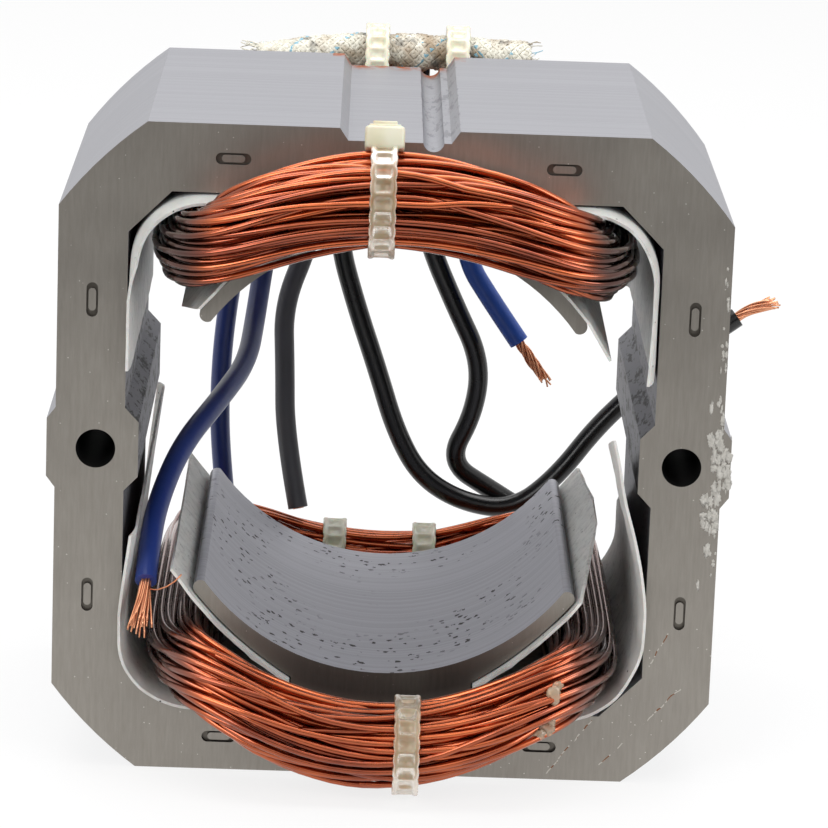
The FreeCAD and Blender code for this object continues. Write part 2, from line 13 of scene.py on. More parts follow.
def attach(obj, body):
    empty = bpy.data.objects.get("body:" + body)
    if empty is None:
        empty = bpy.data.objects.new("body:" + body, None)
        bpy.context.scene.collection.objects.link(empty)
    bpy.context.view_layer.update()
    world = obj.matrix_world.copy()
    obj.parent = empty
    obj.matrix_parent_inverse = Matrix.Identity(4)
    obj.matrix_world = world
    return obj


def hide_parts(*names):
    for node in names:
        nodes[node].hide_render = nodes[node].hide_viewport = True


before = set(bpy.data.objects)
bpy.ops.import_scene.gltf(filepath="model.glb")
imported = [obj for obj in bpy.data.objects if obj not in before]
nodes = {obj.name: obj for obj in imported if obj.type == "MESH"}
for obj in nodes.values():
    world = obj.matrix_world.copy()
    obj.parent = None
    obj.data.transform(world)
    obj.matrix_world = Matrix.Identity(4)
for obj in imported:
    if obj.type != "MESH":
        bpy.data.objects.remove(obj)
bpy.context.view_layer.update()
mm = 0.001
goldenAngle = 2.39996  # radians: turning by it spreads points evenly over a round


def feed(node, facts):
    # a fact is a property, an input's value, or what is linked to the input: an output, or a
    # node, which then gives the first output that it has in use
    for name, value in facts.items():
        if isinstance(value, bpy.types.Node):
            value = next(socket for socket in value.outputs if socket.enabled)
        if isinstance(value, bpy.types.NodeSocket):
            node.id_data.links.new(value, node.inputs[name])
        elif isinstance(name, str) and hasattr(node, name):
            setattr(node, name, value)
        else:
            node.inputs[name].default_value = value


def addNode(tree, kind, facts=None):  # the kind may name its operation
    kind, _, operation = kind.partition(" ")
    node = tree.nodes.new("ShaderNode" + kind)
    if operation:
        node.operation = operation
    if kind == "Mix":
        node.data_type = "RGBA"
    feed(node, facts or {})
    return node


def linear(code):  # sRGB hex to linear RGBA
    parts = [int(code[i:i + 2], 16) / 255 for i in (1, 3, 5)]
    return [p / 12.92 if p <= 0.04045 else ((p + 0.055) / 1.055) ** 2.4 for p in parts] + [1.0]


def perMm(size):  # texture scale for a pattern of that size in millimetres
    return 1000.0 / size


def startMaterial(name, settings):
    material = bpy.data.materials.new(name)
    material.use_nodes = True
    material.node_tree.nodes.clear()
    add = functools.partial(addNode, material.node_tree)
    shader = add("BsdfPrincipled", settings)
    add("OutputMaterial", {"Surface": shader})
    return material, add, shader


def dress(piece, material, smooth=True):
    piece.data.materials.clear()
    piece.data.materials.append(material)
    if smooth and piece.type == "MESH":
        piece.data.polygons.foreach_set("use_smooth", [True] * len(piece.data.polygons))


def linkPiece(name, data):
    piece = bpy.data.objects.new(name, data)
    bpy.context.scene.collection.objects.link(piece)
    return piece


def newPiece(name, verts, faces):
    data = bpy.data.meshes.new(name)
    data.from_pydata([tuple(v) for v in verts], [], faces)
    data.update()
    return linkPiece(name, data)


def finishPiece(name, mesh):  # turns an edited mesh into a piece
    data = bpy.data.meshes.new(name)
    mesh.to_mesh(data)
    mesh.free()
    return linkPiece(name, data)


# ---- camera: long lens, a little above the bore's axis
camera = {
    "place": (-4.6, -523.35, 141.45),  # mm
    "turn": (75.466, -2.057, -0.296),  # degrees
    "lens": 187.2,
}
eye = bpy.data.objects.new("camera", bpy.data.cameras.new("camera"))
eye.data.lens = camera["lens"]
eye.data.sensor_width = 36
eye.data.clip_start = 0.01
eye.location = Vector(camera["place"]) * mm
eye.rotation_euler = [math.radians(a) for a in camera["turn"]]
bpy.context.scene.collection.objects.link(eye)
bpy.context.scene.camera = eye
print("camera ready")


# ---- insulations
def pvcMaterial(name, colour, rough):
    # extruded PVC: smooth and waxy, with a soft uneven gloss and a few scuffs
    material, add, shader = startMaterial(name, {"IOR": 1.5})
    coords = add("TexCoord").outputs["Object"]
    haze = add("TexNoise", {"Scale": perMm(6), "Detail": 4, "Vector": coords})
    base = linear(colour)
    paler = [c * 1.5 for c in base[:3]] + [1]
    tint = add("Mix", {0: haze, 6: base, 7: paler})
    feed(shader, {"Base Color": tint})
    gloss = add("MapRange", {"To Min": rough - 0.08, "To Max": rough + 0.14, "Value": haze})
    feed(shader, {"Roughness": gloss})
    skin = add("TexNoise", {"Scale": perMm(0.9), "Detail": 3, "Vector": coords})
    bump = add("Bump", {"Strength": 0.12, "Distance": 0.0002, "Height": skin})
    feed(shader, {"Normal": bump})
    return material


pvcNavy = pvcMaterial("pvcNavy", "#142966", 0.32)
pvcBlue = pvcMaterial("pvcBlue", "#20489C", 0.36)
pvcGrey = pvcMaterial("pvcGrey", "#48484C", 0.45)
pvcBlack = pvcMaterial("pvcBlack", "#070708", 0.24)

# ---- leads: the routes that the CAD tubes follow
leadShape = {"diameter": 2.8, "strand": 0.26, "strandsAcross": 1.6,
             "endStrands": 14, "endStrand": 0.38}  # seen on a flush cut
leads = {
    "lead_blue_front": {
        "material": pvcNavy, "slot": "pvc_navy", "length": 101.7, "strands": "strands_blue_front",
        "route": [
            (-13.8, 64.9, 38.2), (-13.6, 68.6, 31.5), (-15.2, 68.9, 22.0), (-17.6, 64.6, 12.2),
            (-18.6, 56.0, 4.4), (-19.3, 45.5, 0.6), (-22.4, 34.0, -1.6), (-27.0, 22.5, -5.2),
            (-29.5, 11.5, -10.0), (-30.1, 3.8, -13.8), (-30.2, -0.6, -17.0)]},
    "lead_blue_rear": {
        "material": pvcNavy, "slot": "pvc_navy", "length": 66.0, "strands": None,
        "route": [
            (-17.4, 64.9, 37.5), (-18.2, 68.7, 30.5), (-19.8, 69.3, 20.5), (-21.8, 69.3, 10.5),
            (-23.2, 69.0, 0.5), (-23.7, 68.6, -9.0), (-23.4, 68.6, -18.0), (-22.4, 69.2, -26.5)]},
    "lead_grey_rear": {
        "material": pvcGrey, "slot": "pvc_grey", "length": 66.3, "strands": None,
        "route": [
            (-10.4, 64.9, 38.6), (-9.7, 70.4, 31.6), (-10.0, 70.6, 22.0), (-11.6, 69.0, 12.4),
            (-15.0, 67.8, 3.6), (-14.5, 66.6, -5.2), (-14.2, 64.6, -14.4), (-12.0, 61.2, -24.2)]},
    "lead_black_right": {
        "material": pvcBlack, "slot": "pvc_black", "length": 119.8,
        "strands": "strands_black_right",
        "route": [
            (-7.4, 64.9, 38.9), (-7.2, 68.6, 32.0), (-7.4, 69.2, 22.6), (-7.6, 69.2, 13.0),
            (-4.8, 69.2, 3.6), (-1.5, 69.2, -5.6), (1.4, 69.3, -14.6), (5.1, 69.4, -21.2),
            (11.2, 69.5, -24.9), (18.6, 69.7, -25.9), (24.6, 70.0, -21.0), (30.6, 70.4, -12.6),
            (38.0, 70.9, -5.6), (44.0, 71.4, -0.9), (49.4, 72.0, 3.0)]},
    "lead_black_rear": {
        "material": pvcBlack, "slot": "pvc_black", "length": 77.3, "strands": None,
        "route": [
            (3.0, 64.9, 39.0), (2.9, 68.6, 32.2), (2.8, 69.4, 23.0), (5.0, 69.6, 13.2),
            (9.0, 70.0, 4.2), (13.2, 70.5, -4.2), (12.6, 71.0, -12.0), (9.0, 71.6, -19.6),
            (15.8, 72.6, -24.0), (22.8, 73.2, -28.4)]},
    "lead_blue_short": {
        "material": pvcBlue, "slot": "pvc_blue", "length": 42.3, "strands": "strands_blue_short",
        "route": [
            (12.1, 64.9, 38.2), (12.0, 68.6, 31.4), (9.8, 69.0, 22.0), (10.2, 68.6, 11.2),
            (14.4, 67.9, 4.9), (18.4, 67.3, -0.6)]},
}


def makeLead(name, lead):
    route = [Vector(point) * mm for point in lead["route"]]
    curve = bpy.data.curves.new(name + "_cord", "CURVE")
    curve.dimensions = "3D"
    spline = curve.splines.new("NURBS")
    spline.points.add(len(route) - 1)
    for point, place in zip(spline.points, route):
        point.co = (*place, 1)
    spline.order_u = 3
    spline.use_endpoint_u = True
    spline.resolution_u = 10
    curve.bevel_depth = leadShape["diameter"] / 2 * mm
    curve.bevel_resolution = 6
    curve.use_fill_caps = True
    piece = linkPiece(name + "_cord", curve)
    dress(piece, lead["material"])
    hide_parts(name)
    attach(piece, "root")
    return piece, route


# ---- bare copper strands at the cut ends
strandTips = {
    "strands_blue_front": {
        "tip": (-31.0, -4.6, -22.4), "splay": 1.3, "twist": 0.5, "count": 20,
        "stray": [(-30.0, -1.0, -17.6), (-29.6, -2.2, -17.7), (-28.6, -3.0, -17.5),
                  (-27.5, -3.4, -16.9), (-26.3, -3.4, -16.2), (-25.6, -3.2, -15.2)]},
    "strands_black_right": {"tip": (55.1, 72.2, 5.4), "splay": 0.5, "twist": 2.0, "count": 16},
    "strands_blue_short": {"tip": (23.0, 66.7, -6.8), "splay": 0.25, "twist": 4.5, "count": 16},
}


def bareCopperMaterial():
    # drawn copper strands: bright, a little tarnished in patches
    material, add, shader = startMaterial("bareCopper", {"Metallic": 1.0, "Roughness": 0.32})
    coords = add("TexCoord").outputs["Object"]
    stain = add("TexNoise", {"Scale": perMm(1.6), "Detail": 3, "Vector": coords})
    strand = add("NewGeometry")
    amount = add("Math MULTIPLY", {0: stain, 1: strand.outputs["Random Per Island"]})
    tint = add("Mix", {0: amount, 6: linear("#F0B28C"), 7: linear("#A85A36")})
    feed(shader, {"Base Color": tint})
    return material


bareCopper = bareCopperMaterial()


def ringFrame(points, closed):
    # tangents, and two directions across that don't twist along the line
    count = len(points)
    tangents = []
    for i in range(count):
        before = points[i - 1] if closed or i > 0 else points[i]
        after = points[(i + 1) % count] if closed or i < count - 1 else points[i]
        tangents.append((after - before).normalized())
    side = tangents[0].orthogonal().normalized()
    frames = []
    for tangent in tangents:
        side = (side - tangent * side.dot(tangent)).normalized()
        frames.append((side.copy(), tangent.cross(side)))
    return frames


def joinRings(faces, start, rings, sides):
    # walls between rings of points, each joined to the next, and a flat end on both
    for ring in range(rings - 1):
        for k in range(sides):
            a = start + ring * sides + k
            b = start + ring * sides + (k + 1) % sides
            faces.append((a, b, b + sides, a + sides))
    last = start + (rings - 1) * sides
    faces.append(tuple(range(start + sides - 1, start - 1, -1)))
    faces.append(tuple(range(last, last + sides)))


def addTube(verts, faces, points, radii, sides):  # round bar along the points
    start = len(verts)
    for point, radius, (u, v) in zip(points, radii, ringFrame(points, False)):
        for k in range(sides):
            angle = 2 * math.pi * k / sides
            verts.append(point + (u * math.cos(angle) + v * math.sin(angle)) * radius)
    joinRings(faces, start, len(points), sides)


def makeStrands(name, route):
    facts = strandTips[name]
    rng = random.Random(name)
    end = route[-1]
    heading = (route[-1] - route[-2]).normalized()
    bend = end + heading * 3.0 * mm
    tip = Vector(facts["tip"]) * mm
    u = heading.orthogonal().normalized()
    v = heading.cross(u)
    spread = 0.5 * (leadShape["strandsAcross"] - leadShape["strand"])
    verts, faces = [], []
    for index in range(facts["count"]):
        reach = math.sqrt((index + 0.5) / facts["count"]) * spread
        angle = index * goldenAngle
        away = rng.uniform(0.3, 1.0) * facts["splay"]
        wander = rng.uniform(-0.7, 0.7)
        short = rng.uniform(0.82, 1.0)
        points = []
        for step in range(11):
            t = step / 10 * short
            middle = end.lerp(bend, t).lerp(bend.lerp(tip, t), t) - heading * 0.5 * mm * (1 - t)
            turn = angle + facts["twist"] * t
            out = (reach + away * t * t * 1.1) * mm
            drift = math.sin(3.0 * t + wander * 3) * 0.12 * mm * t
            points.append(middle + (u * math.cos(turn) + v * math.sin(turn)) * (out + drift))
        addTube(verts, faces, points, [leadShape["strand"] / 2 * mm] * 11, 7)
    if "stray" in facts:  # one strand has sprung away from the others
        points = [Vector(p) * mm for p in facts["stray"]]
        points = [a.lerp(b, 0.5).lerp(b.lerp(c, 0.5), 0.5)
                  for a, b, c in zip(points, points[1:], points[2:])]
        points = [end - heading * 0.5 * mm] + points + [Vector(facts["stray"][-1]) * mm]
        addTube(verts, faces, points, [leadShape["strand"] / 2 * mm * 0.8] * len(points), 7)
    piece = newPiece(name + "_splayed", verts, faces)
    dress(piece, bareCopper)
    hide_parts(name)
    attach(piece, "root")
    return piece


def makeCutEnd(name, route):
    # flush cut: the strands' ends stand just proud of the insulation
    verts, faces = [], []
    heading = (route[-1] - route[-2]).normalized()
    u = heading.orthogonal().normalized()
    v = heading.cross(u)
    spread = 0.5 * (leadShape["strandsAcross"] - leadShape["strand"]) * mm
    for index in range(leadShape["endStrands"]):
        reach = math.sqrt((index + 0.5) / leadShape["endStrands"]) * spread
        turn = index * goldenAngle
        middle = route[-1] + (u * math.cos(turn) + v * math.sin(turn)) * reach
        addTube(verts, faces, [middle - heading * 0.4 * mm, middle + heading * 0.12 * mm],
                [leadShape["endStrand"] / 2 * mm] * 2, 7)
    piece = newPiece(name + "_cut_end", verts, faces)
    dress(piece, bareCopper)
    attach(piece, "root")
    return piece


for leadName, lead in leads.items():
    cordPiece, leadRoute = makeLead(leadName, lead)
    if lead["strands"]:
        endPiece = makeStrands(lead["strands"], leadRoute)
    else:
        endPiece = makeCutEnd(leadName, leadRoute)
print("leads and strands ready")


# ---- laminations
laminations = {
    "pitch": 0.5,  # mm
    "scratches": (((34.1, -26.4), (36.7, -21.1)), ((21.7, -41.2), (27.1, -33.8)),
                  ((28.3, -39.9), (38.2, -29.3))),
    "scratchWidth": 0.14,
    "places": {  # mm from the bore's axis and the front face
        "boreRadius": (29.3,),          # the shoes' bore faces lie within it
        "innerRadius": (37.5,),         # and every face inside the window within this
        "bossHeight": (8.0,),
        "groove": (5.2, 2.4),           # middle and half width
        "grooveAbove": (34.0,),
        "holeAcross": (36.92, 3.4),     # middle and half width
        "holeHalf": (3.0,),
        "rustBehind": (50.2, 53.2),     # from none to all
        "rustAbove": (36.0,),
        "rustHalf": (9.0,),
        "neckShadeAcross": (22.0, 8.0),   # from none to all
        "neckShadeRadius": (34.0, 31.0),
        "markOnYoke": (20.5, 37.65),
        "markOnLeg": (37.65, 19.2),
        "markReach": (3.2,),
        "markWall": (0.45, 0.44),       # middle and half depth
        "shadedMarkFloor": (0.6, 0.2),
    },
}


def electricalSteelMaterial():
    # cold-rolled silicon steel: satin sheet on the two faces, bright sheared edges all round,
    # where each lamination shows as a fine line
    material, add, shader = startMaterial("electricalSteel", {"Metallic": 0.92})
    size = {name: [part * mm for part in parts] for name, parts in laminations["places"].items()}
    surface = add("TexCoord")
    coords = surface.outputs["Object"]
    across, depth, up = add("SeparateXYZ", {0: coords}).outputs
    facing = add("SeparateXYZ", {0: surface.outputs["Normal"]})
    endOn = add("Math ABSOLUTE", {0: facing.outputs["Y"]})
    isFace = add("Math GREATER_THAN", {0: endOn, 1: 0.5})
    isEdge = add("Math SUBTRACT", {0: 1.0, 1: isFace})
    outX = add("Math ABSOLUTE", {0: across})
    outZ = add("Math ABSOLUTE", {0: up})
    plane = add("CombineXYZ", {0: across, 2: up})
    radius = add("VectorMath LENGTH", {0: plane})

    # edges: one tone for each lamination and a line at its side
    count = add("Math MULTIPLY", {0: depth, 1: perMm(laminations["pitch"])})
    whole = add("Math FLOOR", {0: count})
    part = add("Math FRACT", {0: count})
    tone = add("TexWhiteNoise", {"noise_dimensions": "1D", "W": whole})
    edgeTint = add("Mix", {0: tone, 6: linear("#97979C"), 7: linear("#9E9EA3")})
    seam = add("Math LESS_THAN", {0: part, 1: 0.14})
    seamShade = add("Math MULTIPLY", {0: seam, 1: 0.07})

    # inside the window they are darker, a painted shade, and the shoes' bore faces are brighter
    # again, a painted light, with pits
    inBore = add("Math LESS_THAN", {0: radius, 1: size["boreRadius"][0]})
    isInner = add("Math LESS_THAN", {0: radius, 1: size["innerRadius"][0]})
    innerShade = add("Math MULTIPLY", {0: isInner, 1: 0.8})
    boreLight = add("Mix", {0: tone, 6: linear("#A4A4AB"), 7: linear("#AFAFB6")})
    pit = add("TexVoronoi", {"Scale": perMm(1.5), "Randomness": 1.0, "Vector": coords})
    pitEdge = add("TexNoise", {"Scale": perMm(0.5), "Detail": 2, "Vector": coords})
    pitSize = add("MapRange", {"From Min": 0.25, "From Max": 0.8, "To Min": 0.04, "To Max": 0.44,
                               "Value": pitEdge})
    isPit = add("Math LESS_THAN", {0: pit, 1: pitSize})
    cluster = add("TexNoise", {"Scale": perMm(17), "Detail": 2, "Vector": coords})
    crowded = add("MapRange", {"From Min": 0.47, "From Max": 0.62, "To Max": 1.25,
                               "Value": cluster})
    pitPlace = add("Math MULTIPLY", {0: isInner, 1: crowded})
    pitKeep = add("Math MULTIPLY", {0: pitPlace, 1: isEdge})
    pitAmount = add("Math MULTIPLY", {0: isPit, 1: pitKeep})

    # black scale on the bolt bosses and in the top groove, and painted shade on the walls of the
    # bolt holes
    drawnOut = add("VectorMath MULTIPLY", {0: coords, 1: (1, 0.3, 1)})
    scale = add("TexNoise", {"Scale": perMm(1.3), "Detail": 5, "Roughness": 0.75,
                             "Vector": drawnOut})
    scalePatch = add("MapRange", {"From Min": 0.53, "From Max": 0.58, "To Max": 0.95,
                                  "Value": scale})
    bossLow = add("Math LESS_THAN", {0: outZ, 1: size["bossHeight"][0]})
    inBoss = add("Math MULTIPLY", {0: bossLow, 1: isInner})
    middle, half = size["groove"]
    grooveSpan = add("Math COMPARE", {0: across, 1: middle, 2: half})
    grooveUp = add("Math GREATER_THAN", {0: up, 1: size["grooveAbove"][0]})
    grooveAll = add("Math MULTIPLY", {0: grooveSpan, 1: grooveUp})
    inGroove = add("Math MULTIPLY", {0: grooveAll, 1: 0.3})
    scalePlace = add("Math MAXIMUM", {0: inBoss, 1: inGroove})
    scaleAmount = add("Math MULTIPLY", {0: scalePatch, 1: scalePlace})
    middle, half = size["holeAcross"]
    holeSpan = add("Math COMPARE", {0: outX, 1: middle, 2: half})
    holeUp = add("Math LESS_THAN", {0: outZ, 1: size["holeHalf"][0]})
    holeShade = add("Math MULTIPLY", {0: holeSpan, 1: holeUp})

    # rust on the rear edge of the top notch
    start, end = size["rustBehind"]
    rustBack = add("MapRange", {"From Min": start, "From Max": end, "Value": depth})
    rustUp = add("Math GREATER_THAN", {0: up, 1: size["rustAbove"][0]})
    rustWide = add("Math LESS_THAN", {0: outX, 1: size["rustHalf"][0]})
    rustBloom = add("TexNoise", {"Scale": perMm(2.4), "Detail": 5, "Roughness": 0.7,
                                 "Vector": coords})
    rustPatch = add("MapRange", {"From Min": 0.44, "From Max": 0.58, "Value": rustBloom})
    rustThere = add("Math MULTIPLY", {0: rustBack, 1: rustUp})
    rustSpots = add("Math MULTIPLY", {0: rustWide, 1: rustPatch})
    rustAmount = add("Math MULTIPLY", {0: rustThere, 1: rustSpots})

    # painted shade on the sunk locking marks' walls, and on their floors
    middle, half = size["markWall"]
    markDepth = add("Math COMPARE", {0: depth, 1: middle, 2: half})
    mirrored = add("CombineXYZ", {0: outX, 1: outZ})
    toYoke, toLeg = (add("VectorMath DISTANCE", {0: mirrored, 1: (*size[mark], 0)})
                     for mark in ("markOnYoke", "markOnLeg"))
    nearest = add("Math MINIMUM", {0: toYoke, 1: toLeg})
    nearMark = add("Math LESS_THAN", {0: nearest, 1: size["markReach"][0]})
    markWallShade = add("Math MULTIPLY", {0: markDepth, 1: nearMark})
    middle, half = size["shadedMarkFloor"]
    shadedMarkFloor = add("Math COMPARE", {0: depth, 1: middle, 2: half})

    # rolled faces: soft clouds, dust, painted shade on the front of the poles' necks, behind the
    # windings, and the sheet's fine grain, streaked up and down
    cloud = add("TexNoise", {"Scale": perMm(14), "Detail": 5, "Roughness": 0.6, "Vector": coords})
    faceTint = add("Mix", {0: cloud, 6: linear("#8E8982"), 7: linear("#A29D95")})
    dust = add("TexVoronoi", {"Scale": perMm(1.3), "Randomness": 1.0, "Vector": coords})
    isDust = add("Math LESS_THAN", {0: dust, 1: 0.06})
    start, end = size["neckShadeAcross"]
    neckShadeWide = add("MapRange", {"interpolation_type": "SMOOTHSTEP", "From Min": start,
                               "From Max": end, "Value": outX})
    start, end = size["neckShadeRadius"]
    neckShadeUp = add("MapRange", {"interpolation_type": "SMOOTHSTEP", "From Min": start, "From Max": end,
                             "Value": radius})
    neckShadeAll = add("Math MULTIPLY", {0: neckShadeWide, 1: neckShadeUp})
    neckShade = add("Math MULTIPLY", {0: neckShadeAll, 1: 0.8})
    grainPlace = add("VectorMath MULTIPLY", {0: coords, 1: (perMm(0.5), perMm(2), perMm(5))})
    grain = add("TexNoise", {"Scale": 1.0, "Detail": 4, "Roughness": 0.7, "Vector": grainPlace})
    grainAmount = add("MapRange", {"From Min": 0.35, "From Max": 0.7, "To Max": 0.28,
                                   "Value": grain})

    # three scratches at the lower right of the front, broken and partly rusted
    wobble = add("TexNoise", {"Scale": perMm(2.5), "Detail": 3, "Vector": coords})
    shaken = add("VectorMath MULTIPLY_ADD", {0: wobble.outputs["Color"], 1: (0.9 * mm,) * 3,
                                             2: coords})
    scratchMask = None
    for (xStart, zStart), (xEnd, zEnd) in laminations["scratches"]:
        line = Vector((xEnd - xStart, 0, zEnd - zStart)).normalized()
        beside = Vector((-line.z, 0, line.x))
        start = Vector((xStart + 0.45, 0, zStart + 0.45)) * mm  # the wobble shifts them back
        half = math.hypot(xEnd - xStart, zEnd - zStart) / 2 * mm
        sideways = add("VectorMath DOT_PRODUCT", {0: shaken, 1: beside})
        onLine = add("Math COMPARE", {0: sideways, 1: start.dot(beside),
                                      2: laminations["scratchWidth"] / 2 * mm})
        along = add("VectorMath DOT_PRODUCT", {0: shaken, 1: line})
        within = add("Math COMPARE", {0: along, 1: start.dot(line) + half, 2: half})
        thisOne = add("Math MULTIPLY", {0: onLine, 1: within})
        if scratchMask:
            thisOne = add("Math MAXIMUM", {0: thisOne, 1: scratchMask})
        scratchMask = thisOne
    broken = add("TexNoise", {"Scale": perMm(1.1), "Detail": 2, "Vector": coords})
    keptPart = add("Math GREATER_THAN", {0: broken, 1: 0.44})
    frontOnly = add("Math LESS_THAN", {0: depth, 1: 0.1 * mm})
    scratchPart = add("Math MULTIPLY", {0: keptPart, 1: frontOnly})
    scratchAmount = add("Math MULTIPLY", {0: scratchMask, 1: scratchPart})
    rusty = add("Math GREATER_THAN", {0: broken, 1: 0.56})
    scratchTint = add("Mix", {0: rusty, 6: linear("#BDB8B0"), 7: linear("#7C4E30")})

    # among the edge layers: painted shade inside the window, in the bolt holes and on the marks'
    # walls, and painted light on the bore faces
    edge = edgeTint
    for amount, over in ((seamShade, linear("#6E6E74")), (innerShade, linear("#6C6C71")),
                         (inBore, boreLight), (pitAmount, linear("#2A2726")),
                         (scaleAmount, linear("#211E1D")), (holeShade, linear("#2E2D2D")),
                         (rustAmount, linear("#A2552A")), (markWallShade, linear("#4C4844"))):
        edge = add("Mix", {0: amount, 6: edge, 7: over})
    # among the face layers: painted shade on the poles' necks and on the marks' floors
    face = faceTint
    for amount, over in ((isDust, linear("#D6D2CA")), (neckShade, linear("#383230")),
                         (grainAmount, linear("#6F6A64")), (scratchAmount, scratchTint),
                         (shadedMarkFloor, linear("#6B665F"))):
        face = add("Mix", {0: amount, 6: face, 7: over})
    colour = add("Mix", {0: isFace, 6: edge, 7: face})
    feed(shader, {"Base Color": colour})

    rough = add("MapRange", {"To Min": 0.48, "To Max": 0.4, "Value": isFace})
    roughCloud = add("Math MULTIPLY_ADD", {0: cloud, 1: 0.1, 2: rough})
    feed(shader, {"Roughness": roughCloud})
    groove = add("Math MULTIPLY", {0: seam, 1: isEdge})
    hollow = add("Math ADD", {0: groove, 1: pitAmount})
    sunk = add("Math SUBTRACT", {0: 1.0, 1: hollow})
    bump = add("Bump", {"Strength": 0.2, "Distance": 0.00005, "Height": sunk})
    feed(shader, {"Normal": bump})
    return material


dress(nodes["lamination_stack"], electricalSteelMaterial(), smooth=False)
print("laminations ready")


# ---- slot liners
def pressboardMaterial():
    # calendered insulating sheet: off-white, faintly mottled, with dark specks of varnish
    material, add, shader = startMaterial("pressboard", {
        "Roughness": 0.55, "IOR": 1.5, "Subsurface Weight": 0.15, "Subsurface Scale": 0.0006})
    coords = add("TexCoord").outputs["Object"]
    mottle = add("TexNoise", {"Scale": perMm(3.5), "Detail": 6, "Roughness": 0.65,
                              "Vector": coords})
    tint = add("Mix", {0: mottle, 6: linear("#ABABA9"), 7: linear("#E4E4DF")})
    # grey blotches, a painted shade inside the slot laid on in patches: none on the sheet's front
    # edge
    blotch = add("TexNoise", {"Scale": perMm(1.5), "Detail": 6, "Roughness": 0.8, "Vector": coords})
    blotchAmount = add("MapRange", {"From Min": 0.5, "From Max": 0.66, "To Max": 0.45,
                                    "Value": blotch})
    place = add("SeparateXYZ", {0: coords})
    inward = add("MapRange", {"From Min": -0.6 * mm, "From Max": 3 * mm,
                              "Value": place.outputs["Y"]})
    blotchShade = add("Math MULTIPLY", {0: blotchAmount, 1: inward})
    shadeBlotched = add("Mix", {0: blotchShade, 6: tint, 7: linear("#5E5E62")})
    speck = add("TexVoronoi", {"Scale": perMm(2.0), "Vector": coords})
    isSpeck = add("Math LESS_THAN", {0: speck, 1: 0.07})
    spotted = add("Mix", {0: isSpeck, 6: shadeBlotched, 7: linear("#3A3230")})
    feed(shader, {"Base Color": spotted})
    fibre = add("TexNoise", {"Scale": perMm(0.4), "Detail": 3, "Vector": coords})
    bump = add("Bump", {"Strength": 0.2, "Distance": 0.0001, "Height": fibre})
    feed(shader, {"Normal": bump})
    return material


pressboard = pressboardMaterial()

liners = {
    "liner_upper_left": {"flare": 0.3, "roll": 1.2, "wave": 0.4, "ragged": 0.5, "seed": 2.0},
    "liner_upper_right": {"flare": -1.1, "roll": 0.8, "wave": 0.4, "ragged": 0.4, "seed": 5.0},
    "liner_lower_left": {"flare": 0.9, "roll": 0, "wave": 0.3, "ragged": 0.3, "seed": 9.0,
                         "top": -8.6},
    "liner_lower_right": {"flare": 0.8, "roll": 0, "wave": 0.35, "ragged": 0.3, "seed": 13.0},
}
linerShape = {
    "cuts": (-1.0, -0.5, 0.2, 1.2, 3.0, 6.0, 10.0, 15.0, 21.0, 27.0, 33.0, 39.0, 44.0, 48.0,
             51.0, 53.0, 54.3),
    "gridStart": -36.0, "gridStep": 1.5, "gridCuts": 49,  # and across and up
    "shoeReach": 31.2,   # nearer the bore's axis than this, the sheet lies on the shoe
}


def makeLiner(name, liner):
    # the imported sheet, cut along its depth and then bent: the front edge flares over the
    # laminations, the walls are a little wavy and the cut edges ragged
    mesh = bmesh.new()
    mesh.from_mesh(nodes[name].data)
    bmesh.ops.remove_doubles(mesh, verts=mesh.verts, dist=0.002 * mm)
    for cut in linerShape["cuts"]:
        bmesh.ops.bisect_plane(mesh, geom=mesh.verts[:] + mesh.edges[:] + mesh.faces[:],
                               dist=0.001 * mm, plane_co=(0, cut * mm, 0), plane_no=(0, 1, 0))
    for normal in (Vector((1, 0, 0)), Vector((0, 0, 1))):
        for k in range(linerShape["gridCuts"]):
            at = linerShape["gridStart"] + linerShape["gridStep"] * k
            bmesh.ops.bisect_plane(mesh, geom=mesh.verts[:] + mesh.edges[:] + mesh.faces[:],
                                   dist=0.001 * mm,
                                   plane_co=normal * at * mm, plane_no=normal)
    if "top" in liner:  # torn off under the bolt boss, lower in front
        torn = bmesh.ops.bisect_plane(mesh, geom=mesh.verts[:] + mesh.edges[:] + mesh.faces[:],
                                      dist=0.001 * mm, plane_co=(0, 20 * mm, liner["top"] * mm),
                                      plane_no=(0, -0.1, 1), clear_outer=True)
        rim = [e for e in torn["geom_cut"] if isinstance(e, bmesh.types.BMEdge)]
        bmesh.ops.contextual_create(mesh, geom=rim)
    for vert in mesh.verts:
        place = vert.co / mm
        reach = math.hypot(place.x, place.z)
        outward = Vector((place.x, 0, place.z)) / reach
        onShoe = reach < linerShape["shoeReach"] and abs(place.x) < 29 and abs(place.z) > 12
        walls = min(max((abs(place.x) - 14.5) / 9, 0), 1)
        front = min(max((1.2 - place.y) / 2.7, 0), 1)
        rear = min(max((place.y - 53.0) / 2.5, 0), 1)
        soft = Vector((place.x * 0.13, place.y * 0.1, place.z * 0.13 + liner["seed"]))
        wave = noise.noise(soft) * liner["wave"]
        if onShoe:
            shift = outward * max(wave, 0) * 0.6
        else:
            room = 0.6 if reach < 34 else 0.35
            shift = -outward * abs(wave) * 1.6 * (1 - front) * room * walls
            corner = min(max((abs(place.z) - 20) / 5, 0), 1)
            bend = liner["flare"]
            if liner["roll"]:
                bend = bend * (1 - corner) - liner["roll"] * corner
            shift += outward * bend * (front ** 2 + rear ** 2) * (0.75 + wave) * walls
            shift.y -= liner["roll"] * corner * front ** 2 * walls
        tear = noise.noise(Vector((place.x * 0.35, liner["seed"], place.z * 0.35)))
        tear += 0.4 * noise.noise(Vector((place.x * 1.3, liner["seed"], place.z * 1.3)))
        shift.y += (front - rear) * tear * liner["ragged"]
        vert.co += shift * mm
    piece = finishPiece(name + "_sheet", mesh)
    dress(piece, pressboard, smooth=False)
    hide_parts(name)
    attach(piece, "root")


for linerName, liner in liners.items():
    makeLiner(linerName, liner)
print("liners ready")


